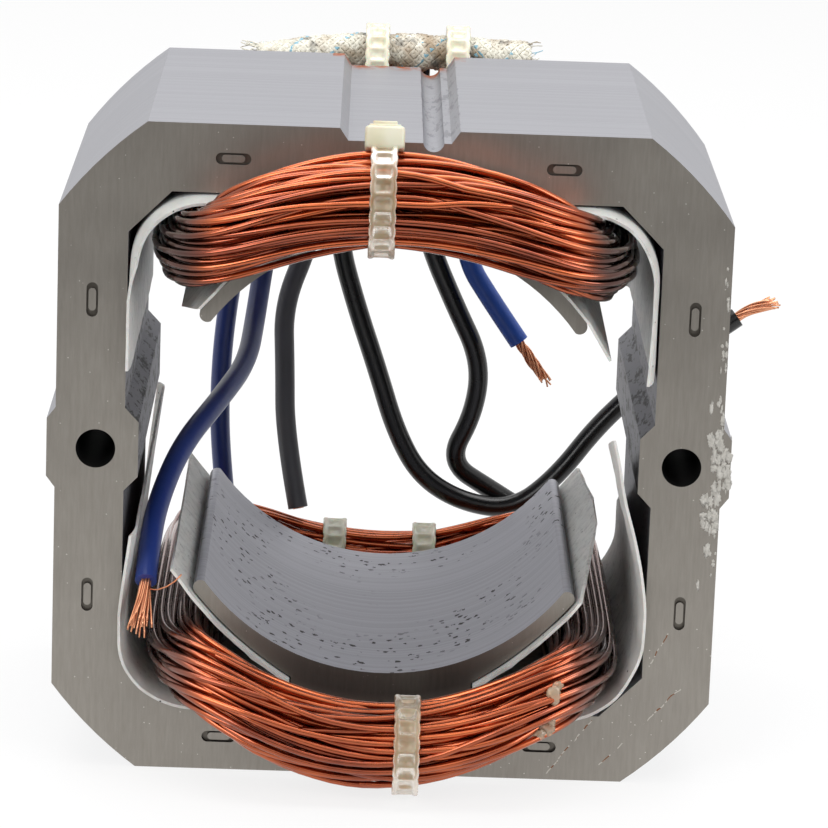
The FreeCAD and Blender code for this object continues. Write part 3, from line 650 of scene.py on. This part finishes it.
# ---- windings
def enamelledCopperMaterial(name, shadeColour):
    # magnet wire: copper seen through a clear red-brown enamel, glossy, each turn its own
    # tone, with painted shade, nearly black, where the turns go round into the slots and inside
    # them
    material, add, shader = startMaterial(name, {
        "Metallic": 1.0, "Coat Weight": 0.8, "Coat Roughness": 0.1})
    coords = add("TexCoord").outputs["Object"]
    wire = add("NewGeometry")
    film = add("TexNoise", {"Scale": perMm(6), "Detail": 3, "Vector": coords})
    shade = add("Math MULTIPLY_ADD", {0: wire.outputs["Random Per Island"], 1: 0.5, 2: film})
    spread = add("MapRange", {"From Min": 0.3, "From Max": 1.1, "Value": shade})
    tint = add("Mix", {0: spread, 6: linear("#7A3017"), 7: linear("#CC6634")})
    place = add("SeparateXYZ", {0: coords})
    side = add("Math ABSOLUTE", {0: place.outputs["X"]})
    # painted shade: near the ends, where the turns go round into the slots, and within the slots
    atEnds = add("MapRange", {"interpolation_type": "SMOOTHSTEP", "From Min": 21.5 * mm,
                              "From Max": 26.5 * mm, "To Max": 0.92, "Value": side})
    inner = add("MapRange", {"interpolation_type": "SMOOTHSTEP", "From Min": -5.0 * mm,
                             "From Max": 1.0 * mm, "To Max": 0.8, "Value": place.outputs["Y"]})
    outer = add("MapRange", {"interpolation_type": "SMOOTHSTEP", "From Min": 53.0 * mm,
                             "From Max": 59.0 * mm, "To Min": 1.0, "To Max": 0.0,
                             "Value": place.outputs["Y"]})
    within = add("Math MULTIPLY", {0: inner, 1: outer})
    dark = add("Math MAXIMUM", {0: atEnds, 1: within})
    shadedTint = add("Mix", {0: dark, 6: tint, 7: linear(shadeColour)})
    feed(shader, {"Base Color": shadedTint})
    gloss = add("MapRange", {"To Min": 0.2, "To Max": 0.34, "Value": film})
    feed(shader, {"Roughness": gloss})
    return material


# two copies that differ only in the painted shade's colour: near black on the upper winding, brown
# on the lower
copperBlackShade = enamelledCopperMaterial("copperBlackShade", "#3E2620")
copperBrownShade = enamelledCopperMaterial("copperBrownShade", "#71493F")

coilShape = {
    "wire": 0.87,             # over its enamel
    "count": 72,
    "sides": 8,
    "slotMiddle": (25.48, 26.48),  # across and up
    "slotHalves": (4.99, 4.75),
    "pivot": 19.81,           # the bundle turns out of the slot about this upright line
    "depth": 54.0,
    "turnSteps": 6,
    "acrossSteps": 10,
    "slotPlaces": (3.5, 9.0, 27.0, 45.0, 50.5),
}
coils = {
    "upper": {"node": "coil_upper", "up": 1, "seed": 3, "wander": 1.15, "sweeps": 3,
              "finish": copperBlackShade,
              "front": {"out": 7.2, "rise": 7.9, "arch": 0.0113, "halves": (6.4, 4.7)},
              "rear": {"out": 7.2, "rise": 5.4, "arch": 0.0117, "halves": (6.2, 4.7)}},
    "lower": {"node": "coil_lower", "up": -1, "seed": 8, "wander": 1.8, "sweeps": 8,
              "finish": copperBrownShade,
              "front": {"out": 9.0, "rise": 8.8, "arch": 0.0165, "halves": (5.5, 4.9)},
              "rear": {"out": 7.2, "rise": 6.5, "arch": 0.0115, "halves": (5.5, 4.8)}},
}


def coilStations(coil):
    # one closed round of the coil: for each station its oval's middle and half sizes, the
    # directions of its long and thin sides, and how free the wires are there
    shape = coilShape
    slotOut = shape["slotMiddle"][0] - shape["pivot"]
    slotUp = shape["slotMiddle"][1]
    stations = []

    def add(middle, halves, tilt, outward, freedom, slack):
        lean = math.radians(tilt)
        up = Vector((0, 0, coil["up"]))
        stations.append({
            "middle": middle, "halves": halves, "free": freedom, "slack": slack,
            "long": outward * math.cos(lean) - up * math.sin(lean),
            "thin": outward * math.sin(lean) + up * math.cos(lean)})

    def addCorner(end, faceY, way, side, angles):
        shoulder = slotUp + end["rise"] - end["arch"] * shape["pivot"] ** 2
        climb = 2 * end["arch"] * shape["pivot"] * end["out"] * math.pi / 2
        for angle in angles:
            share = math.sin(angle) ** 2
            turned = angle / (math.pi / 2)
            out = slotOut + (end["out"] - slotOut) * share
            height = slotUp + (shoulder - slotUp) * turned ** 2 * (3 - 2 * turned)
            height -= climb * turned ** 2 * (1 - turned)
            halves = [a + (b - a) * share for a, b in zip(shape["slotHalves"], end["halves"])]
            outward = Vector((side * math.cos(angle), way * math.sin(angle), 0))
            middle = Vector((side * shape["pivot"], faceY, coil["up"] * height)) + outward * out
            add(middle, halves, 45 + 30 * share, outward, 0.35 + 0.65 * share, 0.5)

    def addEnd(end, faceY, way, side):
        quarter = math.pi / 2
        angles = [quarter * k / shape["turnSteps"] for k in range(shape["turnSteps"] + 1)]
        addCorner(end, faceY, way, side, angles)
        for k in range(1, shape["acrossSteps"]):
            x = side * shape["pivot"] * (1 - 2 * k / shape["acrossSteps"])
            height = slotUp + end["rise"] - end["arch"] * x * x
            tilt = 90 - 15 * (x / shape["pivot"]) ** 2
            add(Vector((x, faceY + way * end["out"], coil["up"] * height)), end["halves"], tilt,
                Vector((0, way, 0)), 1.0, 0.08)
        addCorner(end, faceY, way, -side, angles[::-1])

    def addSlot(side, forward):
        for y in shape["slotPlaces"][::1 if forward else -1]:
            middle = Vector((side * shape["slotMiddle"][0], y, coil["up"] * slotUp))
            add(middle, shape["slotHalves"], 45, Vector((side, 0, 0)), 0.35, 0.25)

    addEnd(coil["front"], 0, -1, 1)
    addSlot(-1, True)
    addEnd(coil["rear"], shape["depth"], 1, -1)
    addSlot(1, False)
    return stations


def settleWires(coil, stations):
    # start evenly in the oval, wander, then push apart until no two wires share a place
    shape = coilShape
    rng = np.random.default_rng(coil["seed"])
    count = shape["count"]
    size = len(stations)
    index = np.arange(count)
    reach = np.sqrt((index + 0.5) / count)
    angle = index * goldenAngle
    unit = np.stack([reach * np.cos(angle), reach * np.sin(angle)], axis=1)
    halves = np.array([s["halves"] for s in stations]) - shape["wire"] / 2
    free = np.array([s["free"] for s in stations])
    places = unit[None] * halves[:, None]
    along = np.arange(size) / size * 2 * np.pi
    for wave in range(1, 6):
        phase = rng.uniform(0, 2 * np.pi, (count, 2))
        swing = rng.normal(0, coil["wander"] / wave ** 0.7, (count, 2))
        path = np.sin(wave * along[:, None, None] + phase[None]) * swing[None]
        places += path * free[:, None, None]
    spacing = shape["wire"] * 1.06
    for step in range(60):
        gap = places[:, :, None] - places[:, None]
        distance = np.sqrt((gap ** 2).sum(axis=3)) + np.eye(count)[None] * 9 + 1e-6
        push = np.clip(spacing - distance, 0, None) / distance * 0.5
        places = places + (gap * push[..., None]).sum(axis=2)
        if step < 52:
            places = places * 0.8 + (np.roll(places, 1, 0) + np.roll(places, -1, 0)) * 0.1
        radial = ((np.abs(places) / halves[:, None]) ** 2.4).sum(axis=2) ** (1 / 2.4)
        places = places / np.maximum(radial, 1)[..., None]
    radial = np.sqrt(((places / halves[:, None]) ** 2).sum(axis=2))
    shown = radial.max(axis=0) > 0.62
    return places[:, shown]


def wireTubes(lines, diameter, sides, longWay):
    # closed round bars; lines is station by wire by xyz, longWay the way the oval lies
    size, count = lines.shape[:2]
    tangent = np.roll(lines, -1, 0) - np.roll(lines, 1, 0)
    tangent /= np.linalg.norm(tangent, axis=2, keepdims=True)
    axis = longWay[:, None]
    side = axis - (axis * tangent).sum(axis=2, keepdims=True) * tangent
    side /= np.linalg.norm(side, axis=2, keepdims=True)
    other = np.cross(tangent, side)
    turn = np.arange(sides) * 2 * np.pi / sides
    ring = (side[:, :, None] * np.cos(turn)[None, None, :, None]
            + other[:, :, None] * np.sin(turn)[None, None, :, None])
    verts = lines[:, :, None] + ring * diameter / 2
    verts = verts.transpose(1, 0, 2, 3).reshape(-1, 3)
    w, s, k = np.meshgrid(np.arange(count), np.arange(size), np.arange(sides), indexing="ij")
    s2 = (s + 1) % size
    k2 = (k + 1) % sides
    here, ahead = (w * size + s) * sides, (w * size + s2) * sides
    faces = np.stack([here + k, here + k2, ahead + k2, ahead + k], axis=-1).reshape(-1, 4)
    return verts, faces.tolist()


def finer(values):
    # one more point between each two, on a smooth closed line
    before, after, beyond = np.roll(values, 1, 0), np.roll(values, -1, 0), np.roll(values, -2, 0)
    between = (values + after) * 0.5625 - (before + beyond) * 0.0625
    return np.stack([values, between], axis=1).reshape(-1, *values.shape[1:])


def makeCoil(name, coil):
    stations = coilStations(coil)
    places = settleWires(coil, stations)
    middle = np.array([s["middle"] for s in stations])
    longWay = np.array([s["long"] for s in stations])
    thinWay = np.array([s["thin"] for s in stations])
    lines = (middle[:, None] + places[..., :1] * longWay[:, None]
             + places[..., 1:] * thinWay[:, None])
    slack = np.array([s["slack"] for s in stations])[:, None, None]
    for sweep in range(coil["sweeps"]):  # enamelled wire springs out of sharp corners
        lines = lines * (1 - slack) + (np.roll(lines, 1, 0) + np.roll(lines, -1, 0)) * slack / 2
    lines = finer(lines)
    verts, faces = wireTubes(lines, coilShape["wire"], coilShape["sides"], finer(longWay))
    piece = newPiece(name + "_winding", verts * mm, faces)
    dress(piece, coil["finish"])
    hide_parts(coil["node"])
    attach(piece, "root")
    print(name, "winding:", places.shape[1], "turns show,", len(faces) * 2, "triangles")
    return piece


windings = {coilName: makeCoil(coilName, coil) for coilName, coil in coils.items()}


# ---- drops of set varnish on the lower winding, and chips of old glue on the right edge
def dropMaterial(name, settings, size, deep, pale):
    material, add, shader = startMaterial(name, settings)
    coords = add("TexCoord").outputs["Object"]
    cloud = add("TexNoise", {"Scale": perMm(size), "Detail": 3, "Vector": coords})
    tint = add("Mix", {0: cloud, 6: linear(deep), 7: linear(pale)})
    feed(shader, {"Base Color": tint})
    return material


# baked varnish: clear amber with a wet gloss
setVarnish = dropMaterial("setVarnish", {"Roughness": 0.12, "IOR": 1.5, "Transmission Weight": 0.6},
                          1.2, "#D9B489", "#F0E2CC")
# dried glue: off-white and a little clear, with a dull gloss
oldGlue = dropMaterial("oldGlue", {"Roughness": 0.32, "IOR": 1.48, "Transmission Weight": 0.35},
                       0.8, "#BDB9B0", "#E6E3DC")


def addLump(mesh, place, size, seed, jagged):
    # uneven lump, size in mm along each axis
    made = bmesh.ops.create_icosphere(mesh, subdivisions=3, radius=1.0)["verts"]
    for vert in made:
        rough = 1 + 0.45 * noise.noise(vert.co * 1.6 + Vector((seed, seed * 0.7, 0)))
        rough += jagged * noise.noise(vert.co * 3.7 + Vector((seed * 0.3, 0, seed)))
        vert.co = (Vector(place) + Vector([a * b for a, b in zip(vert.co * rough, size)])) * mm


def makeLumps(name, lumps, material, jagged):
    mesh = bmesh.new()
    for index, (place, size) in enumerate(lumps):
        addLump(mesh, place, size, index * 3.1, jagged)
    piece = finishPiece(name, mesh)
    dress(piece, material)
    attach(piece, "root")


varnishDrops = [
    ((21.6, -12.6, -26.4), (0.9, 0.6, 1.2)), ((22.0, -12.3, -25.3), (0.6, 0.5, 0.6)),
    ((20.8, -12.4, -30.9), (1.1, 0.6, 1.0)), ((20.0, -12.6, -31.6), (0.8, 0.5, 0.7)),
    ((21.4, -12.3, -30.0), (0.5, 0.5, 0.7))]
lowerWires = windings["lower"].data
wireTree = BVHTree.FromPolygons([v.co for v in lowerWires.vertices],
                                [f.vertices[:] for f in lowerWires.polygons])
settledDrops = []
for place, size in varnishDrops:  # each is let down on to the wires behind it
    heading = (Vector(place) * mm - eye.location).normalized()
    hit = wireTree.ray_cast(Vector(place) * mm - heading * 5 * mm, heading)[0]
    if hit:
        settledDrops.append((tuple(hit / mm - heading * 0.1), size))
makeLumps("varnish_drops", settledDrops, setVarnish, 0.2)

glue = {
    "chips": 190, "crust": 120,       # so many of them lie in the crust, the rest alone
    "crustHeight": (-1.0, 4.2),       # mm, middle and spread
    "aloneHeight": (-14, 28),
    "between": (-16, 27),
    "edge": 42.0, "bossEdge": 43.1, "bossHalf": 3.3,
    "onSide": 0.25,                   # share of them round the corner
    "thick": (0.04, 0.09),
}
glueRng = random.Random(11)
glueChips = []
for chip in range(glue["chips"]):
    crust = chip < glue["crust"]
    if crust:
        height = glueRng.gauss(*glue["crustHeight"])
    else:
        height = glueRng.uniform(*glue["aloneHeight"])
    edge = glue["bossEdge"] if abs(height) < glue["bossHalf"] else glue["edge"]
    if height > glue["between"][1] or height < glue["between"][0]:
        continue
    inset = glueRng.uniform(0.0, 1.0) ** 1.5 * (2.2 if crust else 0.6)
    onSide = glueRng.random() < glue["onSide"]
    place = (edge - 0.2 - inset, 0.0, height)
    if onSide:
        place = (edge, glueRng.uniform(0.3, 4.0), height)
    thick = glueRng.uniform(*glue["thick"])
    wide = glueRng.uniform(0.12, 0.42) if crust else glueRng.uniform(0.08, 0.18)
    tall = glueRng.uniform(0.2, 0.8) if crust else glueRng.uniform(0.15, 0.45)
    glueChips.append((place, (thick, wide, tall) if onSide else (wide, thick, tall)))
makeLumps("glue_chips", glueChips, oldGlue, 0.9)
print("varnish and glue ready")


# ---- cable ties
def nylonMaterial(name, clear, pale, deep):
    # moulded natural nylon: milky and see-through, yellowed by heat, with a soft gloss
    material, add, shader = startMaterial(name, {
        "Roughness": 0.36, "IOR": 1.53, "Transmission Weight": clear,
        "Subsurface Weight": 0.3, "Subsurface Scale": 0.0008})
    coords = add("TexCoord").outputs["Object"]
    cloud = add("TexNoise", {"Scale": perMm(3.2), "Detail": 2, "Vector": coords})
    amber = add("MapRange", {"From Min": 0.4, "From Max": 0.7, "Value": cloud})
    tint = add("Mix", {0: amber, 6: linear(pale), 7: linear(deep)})
    feed(shader, {"Base Color": tint})
    return material


clearNylon = nylonMaterial("clearNylon", 0.6, "#CBB899", "#AF8C5E")
milkyNylon = nylonMaterial("milkyNylon", 0.1, "#DFDDC8", "#D2CDB0")

tieShape = {
    "width": 3.3, "thick": 0.9, "dip": 0.42, "bulge": 0.14,
    "pitch": 1.8,        # from rib to rib
    "pocket": (0.0, 0.25, 0.85, 1.0, 1.0, 1.0, 0.85, 0.25),  # how deep it is along one pitch
    "head": (4.9, 4.5, 2.9), "headBevel": 0.45, "tail": 0.8, "tailWidth": 3.0,
}
ties = {  # each strap's place across, the oval it is pulled round, and where its head sits
    "tie_upper_front": {"x": -1.9, "head": 75.0, "nylon": clearNylon},
    "tie_lower_front": {"x": 3.4, "head": -15.0, "nylon": clearNylon},
    "tie_upper_rear_left": {"x": -3.0, "head": 20.0, "nylon": milkyNylon},
    "tie_upper_rear_right": {"x": 8.0, "head": 20.0, "nylon": milkyNylon},
    "tie_lower_rear_left": {"x": -6.7, "head": -20.0, "nylon": milkyNylon},
    "tie_lower_rear_right": {"x": 5.9, "head": -20.0, "nylon": milkyNylon},
}


def tieOval(name):
    # middle and half sizes of the strap's hole, read from the CAD strap's inner wall
    points = np.array([v.co for v in nodes[name].data.vertices]) / mm
    tie = ties[name]
    edge = points[np.abs(np.abs(points[:, 0] - tie["x"]) - tieShape["width"] / 2) < 0.02]
    low, high = edge[:, 1:].min(axis=0), edge[:, 1:].max(axis=0)
    if name.startswith("tie_upper_rear"):  # these two hold the sleeving as well
        return (low + high) / 2, (high - low) / 2 - tieShape["thick"]
    # the others are pulled tight on the wires, as far as the CAD strap's hole allows
    low, high = low + tieShape["thick"], high - tieShape["thick"]
    coil = windings["upper" if "upper" in name else "lower"]
    wires = np.array([v.co for v in coil.data.vertices]) / mm
    held = wires[(np.abs(wires[:, 0] - tie["x"]) < tieShape["width"] / 2)
                 & ((wires[:, 1] < 0) == ("front" in name))][:, 1:]
    low, high = np.maximum(low, held.min(axis=0)), np.minimum(high, held.max(axis=0))
    return (low + high) / 2, (high - low) / 2 * 1.02


def makeTie(name, tie):
    shape = tieShape
    middle, halves = tieOval(name)
    turn = np.linspace(0, 2 * np.pi, 721)
    outer = halves + shape["thick"] / 2
    length = np.concatenate([[0], np.cumsum(np.hypot(np.diff(outer[0] * np.cos(turn)),
                                                     np.diff(outer[1] * np.sin(turn))))])
    ribs = int(length[-1] / shape["pitch"])
    steps = ribs * len(shape["pocket"])
    angles = np.interp(np.arange(steps) / steps * length[-1], length, turn)
    # section across: share of the half width, and share of the thickness from the inside
    section = [(-0.92, 0.0), (0.92, 0.0), (1.0, 0.12), (1.0, 0.85), (0.9, 1.0), (0.76, 1.0),
               (0.62, 0.93), (0.5, "dip"), (0.0, "dip"), (-0.5, "dip"), (-0.62, 0.93), (-0.76, 1.0),
               (-0.9, 1.0), (-1.0, 0.85), (-1.0, 0.12)]
    verts, faces = [], []
    for i, angle in enumerate(angles):
        c, s = math.cos(angle), math.sin(angle)
        out = np.array([c / outer[0], s / outer[1]])
        out /= np.linalg.norm(out)
        base = middle + halves * np.array([c, s])
        pocket = shape["pocket"][i % len(shape["pocket"])]
        half = shape["width"] / 2 - shape["bulge"] * (1 - pocket)
        for across, up in section:
            if up == "dip":
                up = 0.93 - shape["dip"] * pocket
            point = base + out * up * shape["thick"]
            verts.append(Vector((tie["x"] + across * half, point[0], point[1])) * mm)
    corners = len(section)
    for i in range(steps):
        here, ahead = i * corners, (i + 1) % steps * corners
        for k in range(corners):
            after = (k + 1) % corners
            faces.append((here + k, ahead + k, ahead + after, here + after))
    strap = newPiece(name + "_strap", verts, faces)
    dress(strap, tie["nylon"])

    angle = math.radians(tie["head"])
    out = Vector((0, math.cos(angle) / (halves[0] + shape["thick"]),
                  math.sin(angle) / (halves[1] + shape["thick"])))
    out.normalize()
    seat = Vector((tie["x"], middle[0] + (halves[0] + shape["thick"]) * math.cos(angle),
                   middle[1] + (halves[1] + shape["thick"]) * math.sin(angle)))
    along = out.cross(Vector((1, 0, 0)))
    wide, deep, thick = shape["head"]
    box = bmesh.new()

    def addBlock(size, centre, bevel):
        made = bmesh.ops.create_cube(box, size=1.0)["verts"]
        turnTo = Matrix((Vector((1, 0, 0)), along, out)).transposed()
        for vert in made:
            vert.co = (centre + turnTo @ Vector([a * b for a, b in zip(vert.co, size)])) * mm
        edges = list({e for v in made for e in v.link_edges})
        bmesh.ops.bevel(box, geom=edges, offset=bevel * mm, segments=3, affect="EDGES", profile=0.5)

    low = -shape["thick"] * 0.9
    top = thick - shape["thick"]
    middleUp = (low + top) / 2
    addBlock((wide, deep, top - low), seat + out * middleUp, shape["headBevel"])
    for end in (-1, 1):  # raised rims of the throat where the tail comes out
        addBlock((wide * 0.8, 0.5, 0.5), seat + out * (top + 0.05) + along * end * 0.95, 0.12)
    addBlock((shape["tailWidth"], 0.85, shape["tail"] + 0.9),
             seat + out * (top + shape["tail"] / 2 - 0.45), 0.15)
    head = finishPiece(name + "_head", box)
    dress(head, milkyNylon)
    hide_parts(name)
    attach(strap, "root")
    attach(head, "root")


for tieName, tie in ties.items():
    makeTie(tieName, tie)
print("ties ready")


# ---- braided sleeving
def glassBraidMaterial():
    # woven glass fibre sleeving soaked in varnish: cream, with blue tracer yarns, and
    # brown and black stains where it has been handled
    material, add, shader = startMaterial("glassBraid",
                                          {"Roughness": 0.5, "IOR": 1.5, "Sheen Weight": 0.2})
    coords = add("TexCoord").outputs["Object"]
    yarn = add("NewGeometry")
    stain = add("TexNoise", {"Scale": perMm(4.5), "Detail": 5, "Roughness": 0.6, "Vector": coords})
    cream = add("Mix", {0: yarn.outputs["Random Per Island"], 6: linear("#CFCBBB"),
                        7: linear("#EDEADD")})
    soaked = add("MapRange", {"From Min": 0.46, "From Max": 0.64, "To Max": 0.75, "Value": stain})
    brown = add("Mix", {0: soaked, 6: cream, 7: linear("#8A6B42")})
    smudge = add("TexNoise", {"Scale": perMm(2.6), "Detail": 4, "Vector": coords})
    sooty = add("MapRange", {"From Min": 0.54, "From Max": 0.66, "To Max": 0.8, "Value": smudge})
    black = add("Mix", {0: sooty, 6: brown, 7: linear("#24211F")})
    dashes = add("Math MULTIPLY_ADD", {0: smudge, 1: 0.35, 2: yarn.outputs["Random Per Island"]})
    tracer = add("Math GREATER_THAN", {0: dashes, 1: 1.1})
    blue = add("Mix", {0: tracer, 6: black, 7: linear("#86B4C6")})
    feed(shader, {"Base Color": blue})
    return material


glassBraid = glassBraidMaterial()
sleeving = {
    "ends": (-19.5, 18.2), "y": 61.2, "top": 41.28, "drops": (1.6, 0.6),
    "radius": 2.35,          # to the middle of the yarns
    "flat": (0.62, 1.0),     # how round the two ends are left
    "yarns": 18, "pitch": 13.0, "width": 0.58, "thin": 0.2, "steps": 110, "sides": 6,
    "lift": 0.14,            # over and under the other way's yarns
    "fibres": 46, "fibre": 0.14,
    "lining": -0.26,         # from the middle of the yarns
}


def sleevePoint(x, angle, out):
    # point on the flattened tube round the sleeving's line
    ends, drops = sleeving["ends"], sleeving["drops"]
    drop = drops[0] * (x / ends[0]) ** 2 if x < 0 else drops[1] * (x / ends[1]) ** 2
    share = (x - ends[0]) / (ends[1] - ends[0])
    fullness = sleeving["flat"][0] + (1 - sleeving["flat"][0]) * min(share / 0.3, 1)
    fullness *= sleeving["flat"][1] + (1 - sleeving["flat"][1]) * min((1 - share) / 0.3, 1)
    fullness *= 1 + 0.06 * math.sin(x * 0.9) + 0.04 * math.sin(x * 2.3 + 1)
    reach = sleeving["radius"] + out
    return Vector((x, sleeving["y"] + reach * math.cos(angle) * (1.04 - 0.05 * fullness),
                   sleeving["top"] - drop + sleeving["radius"] * (1 - fullness) * 0.5
                   + reach * math.sin(angle) * fullness))


def makeSleeving():
    verts, faces = [], []
    rng = random.Random(4)
    ends = sleeving["ends"]
    length = ends[1] - ends[0]
    steps, sides = sleeving["steps"], sleeving["sides"]
    for way in (-1, 1):
        for yarn in range(sleeving["yarns"]):
            phase = 2 * math.pi * (yarn + (0.5 if way > 0 else 0)) / sleeving["yarns"]
            start = ends[0] + rng.uniform(0.0, 0.7)
            stop = ends[1] - rng.uniform(0.0, 0.9)
            first = len(verts)
            for i in range(steps):
                x = start + (stop - start) * i / (steps - 1)
                angle = phase + way * 2 * math.pi * (x - ends[0]) / sleeving["pitch"]
                # over two yarns and under two of the other way
                weave = sleeving["yarns"] * 2 * math.pi * (x - ends[0]) / sleeving["pitch"]
                lift = sleeving["lift"] * math.sin(weave + way * math.pi / 2 + yarn * math.pi)
                here = sleevePoint(x, angle, lift)
                ahead = sleevePoint(x + 0.1, angle + way * 2 * math.pi * 0.1 / sleeving["pitch"],
                                    lift)
                line = (ahead - here).normalized()
                out = (sleevePoint(x, angle, lift + 1) - here).normalized()
                across = line.cross(out).normalized()
                for k in range(sides):
                    turn = 2 * math.pi * k / sides
                    verts.append((here + across * math.cos(turn) * sleeving["width"] / 2
                                  + out * math.sin(turn) * sleeving["thin"] / 2) * mm)
            joinRings(faces, first, steps, sides)
    # loose fibres at the two cut ends
    for index in range(sleeving["fibres"]):
        left = index % 3 > 0
        x = ends[0] + 0.2 if left else ends[1] - 0.4
        angle = rng.uniform(0, 2 * math.pi)
        root = sleevePoint(x, angle, 0)
        tip = root + Vector(((-1 if left else 1) * rng.uniform(0.7, 2.6), rng.uniform(-0.7, 0.7),
                             rng.uniform(-0.5, 0.7)))
        bend = root.lerp(tip, 0.5) + Vector((0, rng.uniform(-0.3, 0.3), rng.uniform(-0.3, 0.3)))
        points = [root.lerp(bend, t).lerp(bend.lerp(tip, t), t) * mm for t in (0, 0.35, 0.7, 1)]
        addTube(verts, faces, points, [sleeving["fibre"] / 2 * mm] * 4, 5)
    piece = newPiece("sleeve_rear_braid", verts, faces)
    dress(piece, glassBraid)
    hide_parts("sleeve_rear")
    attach(piece, "root")
    # dark lining seen between the yarns
    verts, faces = [], []
    for i in range(40):
        x = ends[0] + 0.8 + (length - 1.6) * i / 39
        for k in range(24):
            verts.append(sleevePoint(x, 2 * math.pi * k / 24, sleeving["lining"]) * mm)
    for i in range(39):
        for k in range(24):
            a, b = i * 24 + k, i * 24 + (k + 1) % 24
            faces.append((a, b, b + 24, a + 24))
    faces.append(tuple(range(24)))
    lining = newPiece("sleeve_rear_lining", verts, faces)
    dress(lining, glassBraid)
    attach(lining, "root")
    print("sleeving ready,", sleeving["yarns"] * 2, "yarns")


makeSleeving()

# ---- floor, backdrop and lights
studio = {"floor": -42.05, "reach": 3.0, "sky": 0.5}  # mm, m and strength


def paperMaterial():
    # white studio paper: plain and matt, seen as pure white but for the object's shadow
    material, add, shader = startMaterial("studioPaper",
                                          {"Base Color": linear("#F4F4F4"), "Roughness": 0.9})
    paths = add("LightPath").outputs
    seen = add("Math ADD", {0: paths["Is Camera Ray"], 1: paths["Is Glossy Ray"]})
    seenToo = add("Math ADD", {"use_clamp": True, 0: seen, 1: paths["Is Transmission Ray"]})
    amount = add("Math MULTIPLY", {0: seenToo, 1: 0.8})
    glow = add("Emission", {"Color": (1, 1, 1, 1), "Strength": 1.0})
    both = add("MixShader", {0: amount, 1: shader, 2: glow})
    feed(shader.outputs[0].links[0].to_node, {"Surface": both})
    return material


floor = newPiece("floor", [(x * studio["reach"], y * studio["reach"], studio["floor"] * mm)
                           for x, y in ((-1, -1), (1, -1), (1, 1), (-1, 1))], [(0, 1, 2, 3)])
dress(floor, paperMaterial(), smooth=False)

# matt black card in front, below the lens: it gives the polished faces their dark upper half
cardShape = {"half": 0.9, "far": -1.6, "near": -0.16, "low": -0.0415, "high": 0.34}  # m
half, far, near, low, high = cardShape.values()
card = newPiece("blackCard", [(-half, far, low), (half, far, low), (half, near, low),
                              (-half, near, low), (-half, far, high), (half, far, high)],
                [(0, 1, 2, 3), (0, 1, 5, 4)])
cardMaterial = startMaterial("blackCard", {"Base Color": linear("#161616"), "Roughness": 0.9})[0]
dress(card, cardMaterial, smooth=False)
card.visible_camera = False
card.visible_shadow = False

world = bpy.data.worlds.new("studio")
bpy.context.scene.world = world
world.use_nodes = True
world.node_tree.nodes.clear()
add = functools.partial(addNode, world.node_tree)
sky = add("Background", {"Color": (1, 1, 1, 1), "Strength": studio["sky"]})
white = add("Background", {"Color": (1, 1, 1, 1), "Strength": 1.0})
paths = add("LightPath").outputs
mirrored = add("Math MAXIMUM", {0: paths["Is Glossy Ray"], 1: paths["Is Transmission Ray"]})
seenWhite = add("Math MAXIMUM", {0: paths["Is Camera Ray"], 1: mirrored})
both = add("MixShader", {0: seenWhite, 1: sky, 2: white})
add("OutputWorld", {"Surface": both})

lamps = {
    "topSoftbox": {"place": (0.0, 0.1, 0.75), "aim": (0, 0.03, 0), "size": (0.9, 0.6),
                   "power": 5.5},
    "frontLeft": {"place": (-0.5, -0.7, 0.45), "aim": (0, 0, 0), "size": (0.5, 0.5), "power": 3.4},
    "frontRight": {"place": (0.6, -0.5, 0.3), "aim": (0, 0, 0), "size": (0.4, 0.5), "power": 2.4},
}
for lampName, lamp in lamps.items():
    light = bpy.data.lights.new(lampName, "AREA")
    light.shape = "RECTANGLE"
    light.size, light.size_y = lamp["size"]
    light.energy = lamp["power"]
    lampObject = bpy.data.objects.new(lampName, light)
    lampObject.location = lamp["place"]
    aim = Vector(lamp["aim"]) - Vector(lamp["place"])
    lampObject.rotation_euler = aim.to_track_quat("-Z", "Y").to_euler()
    bpy.context.scene.collection.objects.link(lampObject)
bpy.context.scene.view_settings.view_transform = "Standard"
